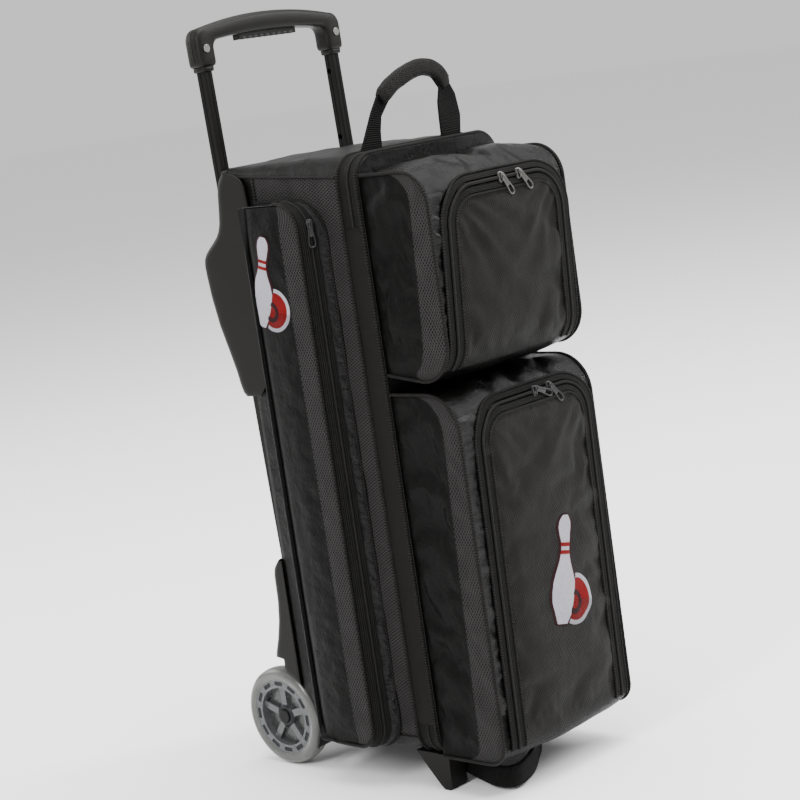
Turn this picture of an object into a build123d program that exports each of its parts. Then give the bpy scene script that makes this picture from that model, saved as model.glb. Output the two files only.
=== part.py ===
"""Rolling three-ball bowling bag, upright on two rear wheels and two front feet.

Frame: +X to the bag's right seen from the front, +Y to the back (handle and wheels), +Z up.
The origin is on the floor, below the middle of the bounding box. Millimetres.
"""
import os
from math import cos, radians, sin

from build123d import *

os.makedirs("parts", exist_ok=True)

# Body: a soft box stiffened with boards, open at the front, where the door closes it
mid_x = 12.1
body_half = 123.0
body_bottom = 45.0
body_top = 762.0
body_rear = 108.0
body_front = -100.0
corner_radius = 30.0
cover_thick = 3.0
board_thick = 5.0
body_height = body_top - body_bottom
body_mid_z = (body_top + body_bottom) / 2
inner_half = body_half - cover_thick
inner_bottom = body_bottom + cover_thick
inner_top = body_top - cover_thick
flat_half = body_half - corner_radius
flat_bottom = body_bottom + corner_radius
flat_top = body_top - corner_radius

# Back wall: a hat section that leaves a corner recess for each handle tube
back_inner = 108.0
back_thick = 5.0
recess_x = 91.0
recess_y = 83.0

# Balls and their foam cups
ball_radius = 109.0
ball_y = -1.0
cup_height = 26.0
cup_floor = 4.0
bay_floor = 54.0
bay_pitch = 232.0

# Door, hinged on the left, with two pouches on it
gap = 0.4
door_back = body_front - gap
door_inner = -111.0
door_face = -116.0
pouch_face = -215.5
pouch_half = 120.0
pouch_wall = 3.0
pouch_radius = 22.0
upper_pouch = (501.0, 739.0)
lower_pouch = (47.0, 485.0)
flap_left = mid_x - 92.0
flap_right = mid_x + 112.0
flap_radius = 26.0
flap_thick = 3.2
upper_flap_span = (514.0, 716.0)
lower_flap_span = (62.0, 466.0)

# Side pocket on the left, full height, with an outer panel that swings on its rear edge
pocket_bottom = 57.0
pocket_top = 717.0
pocket_x = mid_x - 148.8
pocket_front_low = -55.0
pocket_front_high = -34.0
pocket_rear = 61.0
side_panel_x = mid_x - 152.0

# Handle: two tubes that lean back a little, an arched grip and a squeeze bar under it
lean = 1.8
tube_base_y = 98.9
tube_x = 109.5
inner_tube = (13.0, 15.0)
inner_wall = 1.2
outer_tube = (16.6, 18.6)
outer_tube_bore = (13.7, 15.7)
outer_tube_span = (140.0, 655.0)
inner_tube_span = (275.0, 918.0)
grip_bottom = 886.0
grip_half = 123.0
grip_leg = 27.5
grip_depth = 27.0
grip_crown = 944.0
squeeze_half = 48.0
rod_offset = 3.0
rivet_offset = 1.8
rivet_z = 907.0
pin_z = 290.0

# Wheels
wheel_radius = 63.5
wheel_y = 156.8
wheel_inner = 96.0
wheel_width = 26.0
wheel_mid = wheel_inner + wheel_width / 2
rim_radius = 49.0
hub_radius = 15.0
bearing_radius = 11.0
bearing_width = 7.0
bearing_bore = 4.0
axle_radius = 3.95
well_radius = 68.0
well_inner = 92.0
spoke_count = 5
slot_count = 12
boss_radius = 9.0

# Moulded back shells
shell_half = 126.0
shell_wall = 3.0
wing_rivets = ((79.0, 540.0), (77.0, 620.0), (76.0, 700.0))
rivet_radius = 2.0
rivet_head = (4.6, 1.2)
foot_screws = ((88.0, -93.0), (88.0, -76.0))
screw_radius = 2.1
screw_head = (4.2, 1.8)

# Zipper sliders
slider_width = 9.0
slider_height = 13.0
slider_depth = 4.4
pull_length = 27.0
pull_width = 6.5
pull_thick = 1.6

lean_rad = radians(lean)
tube_plane = Plane(
    origin=(mid_x, tube_base_y, 0),
    x_dir=(1, 0, 0),
    z_dir=(0, sin(lean_rad), cos(lean_rad)),
)


def save(piece, name):
    """Labels a finished piece and writes its STEP file."""
    piece.part.label = name
    export_step(piece.part, f"parts/{name}.step")


def slab(low, high):
    """Adds a box between two opposite corners to the part being built."""
    size = [b - a for a, b in zip(low, high)]
    with Locations(tuple((a + b) / 2 for a, b in zip(low, high))):
        Box(*size)


def cut_wells():
    """Clears both wheels out of the part being built."""
    for side in (-1, 1):
        reach = 60.0
        centre = mid_x + side * (well_inner + reach / 2)
        with Locations(Location((centre, wheel_y, wheel_radius), (0, 90, 0))):
            Cylinder(well_radius, reach, mode=Mode.SUBTRACT)


def cut_rivet_holes(start, end):
    """Drills the rivet holes of both wings, between two distances from the midplane."""
    for side in (-1, 1):
        for rivet_y, rivet_z_side in wing_rivets:
            centre = mid_x + side * (start + end) / 2
            with Locations(Location((centre, rivet_y, rivet_z_side), (0, 90, 0))):
                Cylinder(rivet_radius, end - start, mode=Mode.SUBTRACT)


def cut_foot_holes():
    """Drills the foot screws' holes down through the part being built."""
    for side in (-1, 1):
        for screw_x, screw_y in foot_screws:
            with Locations((mid_x + side * screw_x, screw_y, body_bottom)):
                Cylinder(screw_radius, 40, mode=Mode.SUBTRACT)


def fit_to_back_wall():
    """Clears the flat of the back wall out of the shell being built."""
    depth = 40.0
    with Locations((mid_x, back_inner + back_thick + 0.1 - depth / 2, body_mid_z)):
        Box(2 * (recess_x + board_thick) + 0.2, depth, body_height, mode=Mode.SUBTRACT)


# ---------------------------------------------------------------- body boards
with BuildPart() as outer_cover:
    with BuildSketch(Plane.XZ.offset(-body_rear)):
        with Locations((mid_x, body_mid_z)):
            RectangleRounded(2 * body_half, body_height, corner_radius)
            RectangleRounded(
                2 * inner_half,
                body_height - 2 * cover_thick,
                corner_radius - cover_thick,
                mode=Mode.SUBTRACT,
            )
    extrude(amount=body_rear - body_front)
    cut_wells()
    cut_rivet_holes(100, 130)
    cut_foot_holes()
save(outer_cover, "outer_cover")

for side_name, side in (("left", -1), ("right", 1)):
    with BuildPart() as side_board:
        face = mid_x + side * inner_half
        inner = mid_x + side * (inner_half - board_thick)
        slab(
            (min(face, inner), body_front + 2, flat_bottom),
            (max(face, inner), recess_y, flat_top),
        )
        cut_rivet_holes(100, 130)
    save(side_board, f"{side_name}_board")

with BuildPart() as top_board:
    slab(
        (mid_x - flat_half, body_front + 2, inner_top - board_thick),
        (mid_x + flat_half, back_inner, inner_top),
    )
save(top_board, "top_board")

with BuildPart() as base_board:
    slab(
        (mid_x - flat_half, body_front + 2, inner_bottom),
        (mid_x + flat_half, back_inner, inner_bottom + board_thick),
    )
    cut_wells()
    cut_foot_holes()
    for side in (-1, 1):
        for screw_x, screw_y in foot_screws:
            with Locations((mid_x + side * screw_x, screw_y, inner_bottom + board_thick)):
                Cylinder(screw_head[0], 2 * screw_head[1], mode=Mode.SUBTRACT)
save(base_board, "base_board")

with BuildPart() as back_wall:
    with BuildSketch(Plane.XY.offset(inner_bottom)):
        with Locations((mid_x, back_inner + back_thick / 2)):
            Rectangle(2 * (recess_x + board_thick), back_thick)
        for side in (-1, 1):
            with Locations((mid_x + side * (recess_x + board_thick / 2), (back_inner + recess_y) / 2)):
                Rectangle(board_thick, back_inner - recess_y)
            with Locations((mid_x + side * (recess_x + inner_half) / 2, recess_y + board_thick / 2)):
                Rectangle(inner_half - recess_x, board_thick)
    extrude(amount=body_height - 2 * cover_thick)
    with BuildSketch(Plane.XZ.offset(-(back_inner + back_thick))):
        with Locations((mid_x, body_mid_z)):
            RectangleRounded(
                2 * inner_half, body_height - 2 * cover_thick, corner_radius - cover_thick
            )
    extrude(amount=back_inner + back_thick - recess_y, mode=Mode.INTERSECT)
    for board_z in (inner_bottom, inner_top - board_thick):
        with Locations((mid_x, 0, board_z + board_thick / 2)):
            Box(2 * flat_half, 2 * back_inner, board_thick, mode=Mode.SUBTRACT)
    cut_wells()
save(back_wall, "back_wall")

# ---------------------------------------------------------------- foam ball cups
cup_half = 107.0
cup_front = -97.0
cup_rear = 82.0
for index, cup_name in enumerate(("lower", "middle", "upper")):
    floor_z = bay_floor + index * bay_pitch
    with BuildPart() as ball_cup:
        with BuildSketch(Plane.XY.offset(floor_z)):
            with Locations((mid_x, (cup_front + cup_rear) / 2)):
                RectangleRounded(2 * cup_half, cup_rear - cup_front, 12)
        extrude(amount=cup_height)
        with Locations((mid_x, ball_y, floor_z + cup_floor + ball_radius)):
            Sphere(ball_radius, mode=Mode.SUBTRACT)
    save(ball_cup, f"ball_cup_{cup_name}")

# ---------------------------------------------------------------- moulded back shells
shell_front = body_rear
neck_z = 690.0
with BuildPart() as upper_back_shell:
    with BuildSketch(Plane.YZ.offset(mid_x - shell_half)):
        with BuildLine():
            Polyline((shell_front, 482), (shell_front, 757), (118, 753), (124, 742))
            Polyline((124, 742), (128, neck_z), (164, 661))
            Spline((164, 661), (167, 648), (158, 575), (138, 508), (133, 482))
            Line((133, 482), (shell_front, 482))
        make_face()
    extrude(amount=2 * shell_half)
    with BuildSketch(Plane.YZ.offset(mid_x - shell_half + shell_wall)):
        with BuildLine():
            Polyline((shell_front, 485), (shell_front, 754), (116.6, 750.4), (121, 741))
            Polyline((121, 741), (125, 688), (161.5, 658.5))
            Spline((161.5, 658.5), (164, 648), (155.2, 576), (135, 509), (130.5, 485))
            Line((130.5, 485), (shell_front, 485))
        make_face()
    extrude(amount=2 * (shell_half - shell_wall), mode=Mode.SUBTRACT)
    for side in (-1, 1):
        with BuildSketch(Plane.YZ.offset(mid_x + side * (body_half + 0.1))):
            with BuildLine():
                Polyline((shell_front, 482), (94, 482), (80, 500), (68, 560), (66, 715))
                Line((66, 715), (80, 745))
                Polyline((80, 745), (shell_front, 757), (shell_front, 482))
            make_face()
        extrude(amount=side * (shell_half - body_half - 0.1))
    # channels where the tubes stand behind the neck, and slots where they leave the floor
    for side in (-1, 1):
        with BuildSketch(tube_plane.offset(664)):
            with Locations((side * tube_x, 12)):
                Rectangle(inner_tube[0] + 1.6, inner_tube[1] + 25.6)
        extrude(amount=110, mode=Mode.SUBTRACT)
        with BuildSketch(tube_plane.offset(476)):
            with Locations((side * tube_x, 0)):
                Rectangle(outer_tube[0] + 0.8, outer_tube[1] + 0.8)
        extrude(amount=14, mode=Mode.SUBTRACT)
    fit_to_back_wall()
    cut_rivet_holes(100, 130)
save(upper_back_shell, "upper_back_shell")

with BuildPart() as shell_rivets:
    shank_start = inner_half - board_thick
    head_radius, head_thick = rivet_head
    for side in (-1, 1):
        for rivet_y, rivet_z_side in wing_rivets:
            shank_mid = mid_x + side * (shank_start + shell_half) / 2
            with Locations(Location((shank_mid, rivet_y, rivet_z_side), (0, 90, 0))):
                Cylinder(rivet_radius, shell_half - shank_start)
            head_mid = mid_x + side * (shell_half + head_thick / 2)
            with Locations(Location((head_mid, rivet_y, rivet_z_side), (0, 90, 0))):
                Cylinder(head_radius, head_thick)
save(shell_rivets, "shell_rivets")

with BuildPart() as lower_back_shell:
    with BuildSketch(Plane.YZ.offset(mid_x - body_half)):
        with BuildLine():
            Polyline((shell_front, 30), (shell_front, 272), (123, 269), (130, 257))
            Polyline((130, 257), (132, 215), (151, 150))
            Polyline((151, 150), (174, 108), (178, 64), (172, 36), (166, 30), (shell_front, 30))
        make_face()
    extrude(amount=2 * body_half)
    with BuildSketch(Plane.YZ.offset(mid_x - body_half + shell_wall)):
        with BuildLine():
            Polyline((shell_front, 150), (shell_front, 268.5), (121.5, 266), (127, 256), (129, 214))
            Polyline((129, 214), (148, 150), (shell_front, 150))
        make_face()
    extrude(amount=2 * (body_half - shell_wall), mode=Mode.SUBTRACT)
    with BuildSketch(Plane.YZ.offset(mid_x - well_inner + shell_wall)):
        with BuildLine():
            Polyline((shell_front, 33), (shell_front, 152), (147.4, 152), (171, 107))
            Polyline((171, 107), (175, 64), (169, 37))
            Polyline((169, 37), (165, 33), (shell_front, 33))
        make_face()
    extrude(amount=2 * (well_inner - shell_wall), mode=Mode.SUBTRACT)
    cut_wells()
    fit_to_back_wall()
    with Locations((mid_x, 0, 0)):
        Box(4 * body_half, 2 * (back_inner + back_thick + 0.1), 2 * body_bottom, mode=Mode.SUBTRACT)
    for side in (-1, 1):
        with BuildSketch(tube_plane.offset(130)):
            with Locations((side * tube_x, 0)):
                Rectangle(outer_tube[0] + 0.8, outer_tube[1] + 0.8)
        extrude(amount=145, mode=Mode.SUBTRACT)
        with Locations(Location((mid_x + side * well_inner, wheel_y, wheel_radius), (0, 90, 0))):
            Cylinder(boss_radius + 0.05, 20, mode=Mode.SUBTRACT)
save(lower_back_shell, "lower_back_shell")

# ---------------------------------------------------------------- telescoping handle
with BuildPart() as outer_tubes:
    with BuildSketch(tube_plane.offset(outer_tube_span[0])):
        with Locations((-tube_x, 0), (tube_x, 0)):
            RectangleRounded(*outer_tube, 2.4)
            RectangleRounded(*outer_tube_bore, 1.6, mode=Mode.SUBTRACT)
    extrude(amount=outer_tube_span[1] - outer_tube_span[0])
save(outer_tubes, "outer_tubes")

with BuildPart() as inner_tubes:
    with BuildSketch(tube_plane.offset(inner_tube_span[0])):
        with Locations((-tube_x, 0), (tube_x, 0)):
            RectangleRounded(*inner_tube, 1.6)
            Rectangle(
                inner_tube[0] - 2 * inner_wall, inner_tube[1] - 2 * inner_wall, mode=Mode.SUBTRACT
            )
        groove = 0.5
        for side in (-1, 1):
            with Locations(
                (side * tube_x - inner_tube[0] / 2, 0),
                (side * tube_x + inner_tube[0] / 2, 0),
            ):
                Rectangle(2 * groove, 2.2, mode=Mode.SUBTRACT)
            with Locations((side * tube_x, -inner_tube[1] / 2)):
                Rectangle(2.2, 2 * groove, mode=Mode.SUBTRACT)
    extrude(amount=inner_tube_span[1] - inner_tube_span[0])
    # stop holes on the faces that look at each other, pin holes below, rivet holes above
    for side in (-1, 1):
        for hole_z, hole_radius in ((859.0, 3.2), (775.0, 3.2)):
            with Locations(tube_plane * Location((side * (tube_x - 5), 2.5, hole_z), (0, 90, 0))):
                Cylinder(hole_radius, 6, mode=Mode.SUBTRACT)
        with Locations(tube_plane * Location((side * (tube_x + 5), 0, pin_z), (0, 90, 0))):
            Cylinder(2.45, 6, mode=Mode.SUBTRACT)
        with Locations(
            tube_plane * Location((side * (tube_x + rivet_offset), 0, rivet_z), (90, 0, 0))
        ):
            Cylinder(2.3, 30, mode=Mode.SUBTRACT)
save(inner_tubes, "inner_tubes")

grip_plane = Plane(origin=tube_plane.origin, x_dir=(1, 0, 0), z_dir=-tube_plane.y_dir)
leg_inner = grip_half - grip_leg
with BuildPart() as grip:
    with BuildSketch(grip_plane.offset(-grip_depth / 2)) as grip_outline:
        with BuildLine():
            Polyline((-leg_inner, 914), (-leg_inner, grip_bottom), (-grip_half, grip_bottom))
            Line((-grip_half, grip_bottom), (-grip_half, 932))
            ThreePointArc((-grip_half, 932), (0, grip_crown), (grip_half, 932))
            Polyline((grip_half, 932), (grip_half, grip_bottom), (leg_inner, grip_bottom))
            Line((leg_inner, grip_bottom), (leg_inner, 914))
            ThreePointArc((leg_inner, 914), (0, 921), (-leg_inner, 914))
        make_face()
        fillet(grip_outline.vertices().group_by(Axis.Y)[-1], 15)
        fillet(grip_outline.vertices().filter_by(lambda v: abs(v.Y - 914) < 0.1), 12)
    extrude(amount=grip_depth)
    # sockets for the tubes, a channel for the lift bar and a slot for the squeeze bar
    for side in (-1, 1):
        with BuildSketch(tube_plane.offset(grip_bottom - 5)):
            with Locations((side * tube_x, 0)):
                Rectangle(*inner_tube)
        extrude(amount=inner_tube_span[1] - grip_bottom + 5.2, mode=Mode.SUBTRACT)
        with Locations(
            tube_plane * Location((side * (tube_x + rivet_offset), 0, rivet_z), (90, 0, 0))
        ):
            Cylinder(2.3, 40, mode=Mode.SUBTRACT)
    with BuildSketch(tube_plane.offset(918.2)):
        Rectangle(2 * (tube_x + 3), 7)
    extrude(amount=11.6, mode=Mode.SUBTRACT)
    with BuildSketch(tube_plane.offset(905)):
        Rectangle(2 * (squeeze_half + 0.5), 13)
    extrude(amount=25.5, mode=Mode.SUBTRACT)
with BuildPart() as grip_front:
    add(grip.part)
    split(bisect_by=grip_plane, keep=Keep.TOP)
save(grip_front, "grip_front_half")
with BuildPart() as grip_rear:
    add(grip.part)
    split(bisect_by=grip_plane, keep=Keep.BOTTOM)
save(grip_rear, "grip_rear_half")

with BuildPart() as grip_rivets:
    for side in (-1, 1):
        spot = tube_plane * Location((side * (tube_x + rivet_offset), 0, rivet_z), (90, 0, 0))
        with Locations(spot):
            Cylinder(2.3, grip_depth)
        for end in (-1, 1):
            head = Location((0, 0, end * (grip_depth / 2 + 0.6)))
            with Locations(spot * head):
                Cylinder(5, 1.2)
    fillet(grip_rivets.edges().filter_by(GeomType.CIRCLE).filter_by(lambda e: e.radius > 4), 0.4)
save(grip_rivets, "grip_rivets")

squeeze_low = 913.0
squeeze_high = 924.0
with BuildPart() as squeeze_bar:
    with BuildSketch(tube_plane.offset(squeeze_low)):
        Rectangle(2 * squeeze_half, 12)
    extrude(amount=squeeze_high - squeeze_low)
    with GridLocations(10, 1, 9, 1):
        with Locations(tube_plane * Location((0, 0, squeeze_low - 1.2), (90, 0, 0))):
            Cylinder(4.2, 14, mode=Mode.SUBTRACT)
save(squeeze_bar, "squeeze_bar")

with BuildPart() as lift_bar:
    with BuildSketch(tube_plane.offset(squeeze_high - 3.8)):
        with Locations((-(squeeze_half + tube_x) / 2, 0), ((squeeze_half + tube_x) / 2, 0)):
            Rectangle(tube_x - squeeze_half, 5.6)
    extrude(amount=3.8)
    with BuildSketch(tube_plane.offset(pin_z + 6)):
        with Locations((-(tube_x - rod_offset), 0), (tube_x - rod_offset, 0)):
            Circle(1.3)
    extrude(amount=squeeze_high - 3 - pin_z - 6)
save(lift_bar, "lift_rods")

with BuildPart() as squeeze_springs:
    for side in (-1, 1):
        with BuildSketch(tube_plane.offset(squeeze_high)):
            with Locations((side * 30, 0)):
                Circle(3.4)
                Circle(2.4, mode=Mode.SUBTRACT)
        extrude(amount=6.4)
save(squeeze_springs, "squeeze_springs")

for side_name, side in (("left", -1), ("right", 1)):
    with BuildPart() as lock_pin:
        tip = tube_x + inner_tube[0] / 2 - 0.2
        with Locations(tube_plane * Location((side * (tip - 2.5), 0, pin_z), (0, 90, 0))):
            Cylinder(2.4, 5)
    save(lock_pin, f"lock_pin_{side_name}")

# ---------------------------------------------------------------- wheels
hub_inner = wheel_inner + 1.0
hub_length = 16.5
hub_outer = hub_inner + hub_length


def wheel_plane(side, distance):
    """A plane across the axle, `distance` out from the bag's midplane, facing outwards."""
    return Plane(
        origin=(mid_x + side * distance, wheel_y, wheel_radius),
        x_dir=(0, side, 0),
        z_dir=(side, 0, 0),
    )


for side_name, side in (("left", -1), ("right", 1)):
    axis = Axis((mid_x, wheel_y, wheel_radius), (1, 0, 0))
    profile_plane = Plane(origin=(mid_x, wheel_y, wheel_radius), x_dir=(side, 0, 0), z_dir=(0, -side, 0))
    with BuildPart() as tyre:
        with BuildSketch(profile_plane):
            with BuildLine():
                Line((wheel_inner + 1.5, rim_radius), (wheel_inner + wheel_width - 1.5, rim_radius))
                Line(
                    (wheel_inner + wheel_width - 1.5, rim_radius),
                    (wheel_inner + wheel_width, rim_radius + 4),
                )
                ThreePointArc(
                    (wheel_inner + wheel_width, rim_radius + 4),
                    (wheel_inner + 25.2, 58.6),
                    (wheel_inner + 22.5, 61.8),
                )
                ThreePointArc(
                    (wheel_inner + 22.5, 61.8),
                    (wheel_mid, wheel_radius),
                    (wheel_inner + 3.5, 61.8),
                )
                ThreePointArc(
                    (wheel_inner + 3.5, 61.8),
                    (wheel_inner + 0.8, 58.6),
                    (wheel_inner, rim_radius + 4),
                )
                Line((wheel_inner, rim_radius + 4), (wheel_inner + 1.5, rim_radius))
            make_face()
        revolve(axis=axis)
    save(tyre, f"{side_name}_tyre")

    with BuildPart() as core:
        with BuildSketch(wheel_plane(side, wheel_mid - 11)):
            Circle(rim_radius)
            Circle(38, mode=Mode.SUBTRACT)
        extrude(amount=22)
        with BuildSketch(wheel_plane(side, hub_inner)):
            Circle(hub_radius)
        extrude(amount=hub_length)
        with BuildSketch(wheel_plane(side, wheel_mid - 6)):
            with PolarLocations(26.5, spoke_count, start_angle=18):
                Rectangle(26, 9)
            Circle(12, mode=Mode.SUBTRACT)
        extrude(amount=12)
        for slot_plane in (wheel_plane(side, wheel_mid + 5), wheel_plane(side, wheel_mid - 11)):
            with BuildSketch(slot_plane):
                with PolarLocations(43.8, slot_count):
                    RectangleRounded(5.4, 14, 1.4)
            extrude(amount=6.1, mode=Mode.SUBTRACT)
        with BuildSketch(wheel_plane(side, hub_inner)):
            Circle(bearing_radius)
        extrude(amount=hub_length, mode=Mode.SUBTRACT)
    save(core, f"{side_name}_wheel_core")

    with BuildPart() as bearings:
        for start in (hub_inner, hub_outer - bearing_width):
            with BuildSketch(wheel_plane(side, start)):
                Circle(bearing_radius)
                Circle(bearing_bore, mode=Mode.SUBTRACT)
            extrude(amount=bearing_width)
            for face_x in (start, start + bearing_width - 0.6):
                with BuildSketch(wheel_plane(side, face_x)):
                    Circle(9)
                    Circle(6, mode=Mode.SUBTRACT)
                extrude(amount=0.6, mode=Mode.SUBTRACT)
    save(bearings, f"{side_name}_bearings")

axle_start = 62.0
with BuildPart() as axle_bolts:
    for side in (-1, 1):
        with BuildSketch(wheel_plane(side, axle_start)):
            Circle(axle_radius)
        extrude(amount=hub_outer + 0.4 - axle_start)
        with BuildSketch(wheel_plane(side, hub_outer + 0.4)):
            Circle(9)
        extrude(amount=5)
    fillet(
        axle_bolts.edges().filter_by(GeomType.CIRCLE).filter_by(lambda e: abs(e.radius - 9) < 0.1), 1.6
    )
save(axle_bolts, "axle_bolts")

block_inner = 66.0
block_outer = well_inner - shell_wall - 0.2
with BuildPart() as axle_blocks:
    for side in (-1, 1):
        low_x = mid_x + side * block_inner
        high_x = mid_x + side * block_outer
        slab(
            (min(low_x, high_x), back_inner + back_thick + 0.2, 46),
            (max(low_x, high_x), 168, 82),
        )
        with BuildSketch(wheel_plane(side, block_outer)):
            Circle(boss_radius)
        extrude(amount=hub_inner - 0.4 - block_outer)
        with BuildSketch(wheel_plane(side, block_inner)):
            Circle(axle_radius)
        extrude(amount=hub_inner - block_inner, mode=Mode.SUBTRACT)
save(axle_blocks, "axle_blocks")

# ---------------------------------------------------------------- feet and straps
foot_inner = 84.0
foot_outer = 112.0
foot_top = 44.4
with BuildPart() as front_feet:
    for side in (-1, 1):
        with BuildSketch(Plane.YZ.offset(mid_x + side * foot_inner)):
            with BuildLine():
                Polyline(
                    (-117, foot_top),
                    (-115.5, 4),
                    (-112, 0),
                    (-104, 0),
                    (-98, 5),
                    (-64, body_bottom),
                    (body_front, body_bottom),
                    (body_front, foot_top),
                    (-117, foot_top),
                )
            make_face()
        extrude(amount=side * (foot_outer - foot_inner))
    for side in (-1, 1):
        for screw_x, screw_y in foot_screws:
            with Locations((mid_x + side * screw_x, screw_y, body_bottom - 6)):
                Cylinder(screw_radius, 12, mode=Mode.SUBTRACT)
save(front_feet, "front_feet")

with BuildPart() as foot_screw_set:
    head_radius, head_thick = screw_head
    head_top = inner_bottom + board_thick
    for side in (-1, 1):
        for screw_x, screw_y in foot_screws:
            with Locations((mid_x + side * screw_x, screw_y, head_top - 8)):
                Cylinder(screw_radius, 16)
            with Locations((mid_x + side * screw_x, screw_y, head_top - head_thick / 2)):
                Cylinder(head_radius, head_thick)
save(foot_screw_set, "foot_screws")

strap_thick = 2.4
with BuildPart() as bottom_grab_strap:
    with BuildSketch(Plane.XY.offset(4)):
        with BuildLine() as strap_route:
            Spline(
                (mid_x - 74, -97),
                (mid_x - 80, -136),
                (mid_x - 88, -172),
                (mid_x - 66, -189),
                (mid_x - 30, -175),
                (mid_x + 5, -152),
                (mid_x + 44, -127),
                (mid_x + 58, -97),
                tangents=[(0, -1), (0, 1)],
            )
        trace(strap_route.line, strap_thick)
    extrude(amount=27)
    for end_x in (-74, 58):
        slab(
            (mid_x + end_x - strap_thick / 2, -98, 4),
            (mid_x + end_x + strap_thick / 2, -84, body_bottom),
        )
save(bottom_grab_strap, "bottom_grab_strap")

handle_y = -84.0
handle_base = 764.2
webbing_thick = 3.0
wrap_thick = 13.0
with BuildPart() as carry_webbing:
    with BuildSketch(Plane.XZ.offset(-(handle_y + webbing_thick / 2))):
        with BuildLine():
            Polyline(
                (mid_x - 78, handle_base),
                (mid_x - 44, handle_base),
                (mid_x - 37, 797),
                (mid_x - 20, 815),
                (mid_x - 32, 831),
                (mid_x - 52, 808),
                (mid_x - 78, handle_base),
            )
        make_face()
        with BuildLine():
            Polyline(
                (mid_x + 62, handle_base),
                (mid_x + 97, handle_base),
                (mid_x + 101, 786),
                (mid_x + 96, 815),
                (mid_x + 84, 832),
                (mid_x + 69, 822),
                (mid_x + 63, 798),
                (mid_x + 62, handle_base),
            )
        make_face()
    extrude(amount=webbing_thick)
save(carry_webbing, "carry_handle_webbing")

with BuildPart() as carry_wrap:
    with BuildSketch(Plane.XZ.offset(-(handle_y + wrap_thick / 2))):
        with BuildLine() as wrap_route:
            Spline(
                (mid_x - 30, 822),
                (mid_x + 5, 840),
                (mid_x + 38, 849),
                (mid_x + 66, 843),
                (mid_x + 80, 826),
            )
        trace(wrap_route.line, 20)
    extrude(amount=wrap_thick)
    with Locations((mid_x - 26, handle_y, 823), (mid_x + 79, handle_y, 826)):
        Box(30, webbing_thick, 36, mode=Mode.SUBTRACT)
save(carry_wrap, "carry_handle_wrap")

# ---------------------------------------------------------------- side pocket
with BuildPart() as side_gusset:
    with BuildSketch(Plane.XY.offset(pocket_bottom)):
        with BuildLine():
            Polyline(
                (mid_x - body_half - 0.2, pocket_front_low),
                (pocket_x, pocket_front_high),
                (pocket_x, pocket_rear - 1),
                (mid_x - body_half - 0.2, pocket_rear),
                (mid_x - body_half - 0.2, pocket_front_low),
            )
        make_face()
    extrude(amount=pocket_top - pocket_bottom)
    with BuildSketch(Plane.XY.offset(pocket_bottom + pouch_wall)):
        with BuildLine():
            Polyline(
                (mid_x - body_half, pocket_front_low + 4),
                (pocket_x - 1, pocket_front_high + 2.5),
                (pocket_x - 1, pocket_rear - 4),
                (mid_x - body_half, pocket_rear - 3),
                (mid_x - body_half, pocket_front_low + 4),
            )
        make_face()
    extrude(amount=pocket_top - pocket_bottom - 2 * pouch_wall, mode=Mode.SUBTRACT)
save(side_gusset, "side_pocket_gusset")

with BuildPart() as side_panel:
    slab(
        (side_panel_x, pocket_front_high, pocket_bottom),
        (pocket_x - 0.3, pocket_rear - 1, pocket_top),
    )
save(side_panel, "side_pocket_panel")

# ---------------------------------------------------------------- door and its pouches
with BuildPart() as door_gusset:
    with BuildSketch(Plane.XZ.offset(-door_back)):
        with Locations((mid_x, body_mid_z)):
            RectangleRounded(2 * body_half, body_height, corner_radius)
            RectangleRounded(
                2 * inner_half,
                body_height - 2 * cover_thick,
                corner_radius - cover_thick,
                mode=Mode.SUBTRACT,
            )
    extrude(amount=door_back - door_inner)
save(door_gusset, "door_gusset")

with BuildPart() as door_board:
    with BuildSketch(Plane.XZ.offset(-door_inner)):
        with Locations((mid_x, body_mid_z)):
            RectangleRounded(2 * body_half, body_height, corner_radius)
    extrude(amount=door_inner - door_face)
save(door_board, "door_board")

for pouch_name, (pouch_low, pouch_high), (flap_low, flap_high) in (
    ("upper", upper_pouch, upper_flap_span),
    ("lower", lower_pouch, lower_flap_span),
):
    pouch_mid = (pouch_low + pouch_high) / 2
    with BuildPart() as pouch:
        with BuildSketch(Plane.XZ.offset(-door_face)):
            with Locations((mid_x, pouch_mid)):
                RectangleRounded(2 * pouch_half, pouch_high - pouch_low, pouch_radius)
                RectangleRounded(
                    2 * (pouch_half - pouch_wall),
                    pouch_high - pouch_low - 2 * pouch_wall,
                    pouch_radius - pouch_wall,
                    mode=Mode.SUBTRACT,
                )
        extrude(amount=door_face - pouch_face)
        with BuildSketch(Plane.XZ.offset(-pouch_face)):
            with Locations((mid_x, pouch_mid)):
                RectangleRounded(2 * pouch_half, pouch_high - pouch_low, pouch_radius)
            with Locations(((flap_left + flap_right) / 2, (flap_low + flap_high) / 2)):
                RectangleRounded(
                    flap_right - flap_left + 2 * gap,
                    flap_high - flap_low + 2 * gap,
                    flap_radius + gap,
                    mode=Mode.SUBTRACT,
                )
        extrude(amount=-flap_thick)
    save(pouch, f"{pouch_name}_pouch")

    with BuildPart() as flap:
        with BuildSketch(Plane.XZ.offset(-pouch_face)):
            with Locations(((flap_left + flap_right) / 2, (flap_low + flap_high) / 2)):
                RectangleRounded(flap_right - flap_left, flap_high - flap_low, flap_radius)
        extrude(amount=-flap_thick)
    save(flap, f"{pouch_name}_flap")

# ---------------------------------------------------------------- zipper sliders and pulls
face_gap = 0.4


def slider_block(centre, normal):
    """Adds a slider body; `normal` points away from the zipped surface."""
    with BuildSketch(Plane(origin=centre, x_dir=Vector(0, 0, 1), z_dir=normal)) as outline:
        RectangleRounded(slider_height, slider_width, 2.2)
    extrude(outline.sketch, amount=slider_depth - pull_thick - 0.6)


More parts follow.
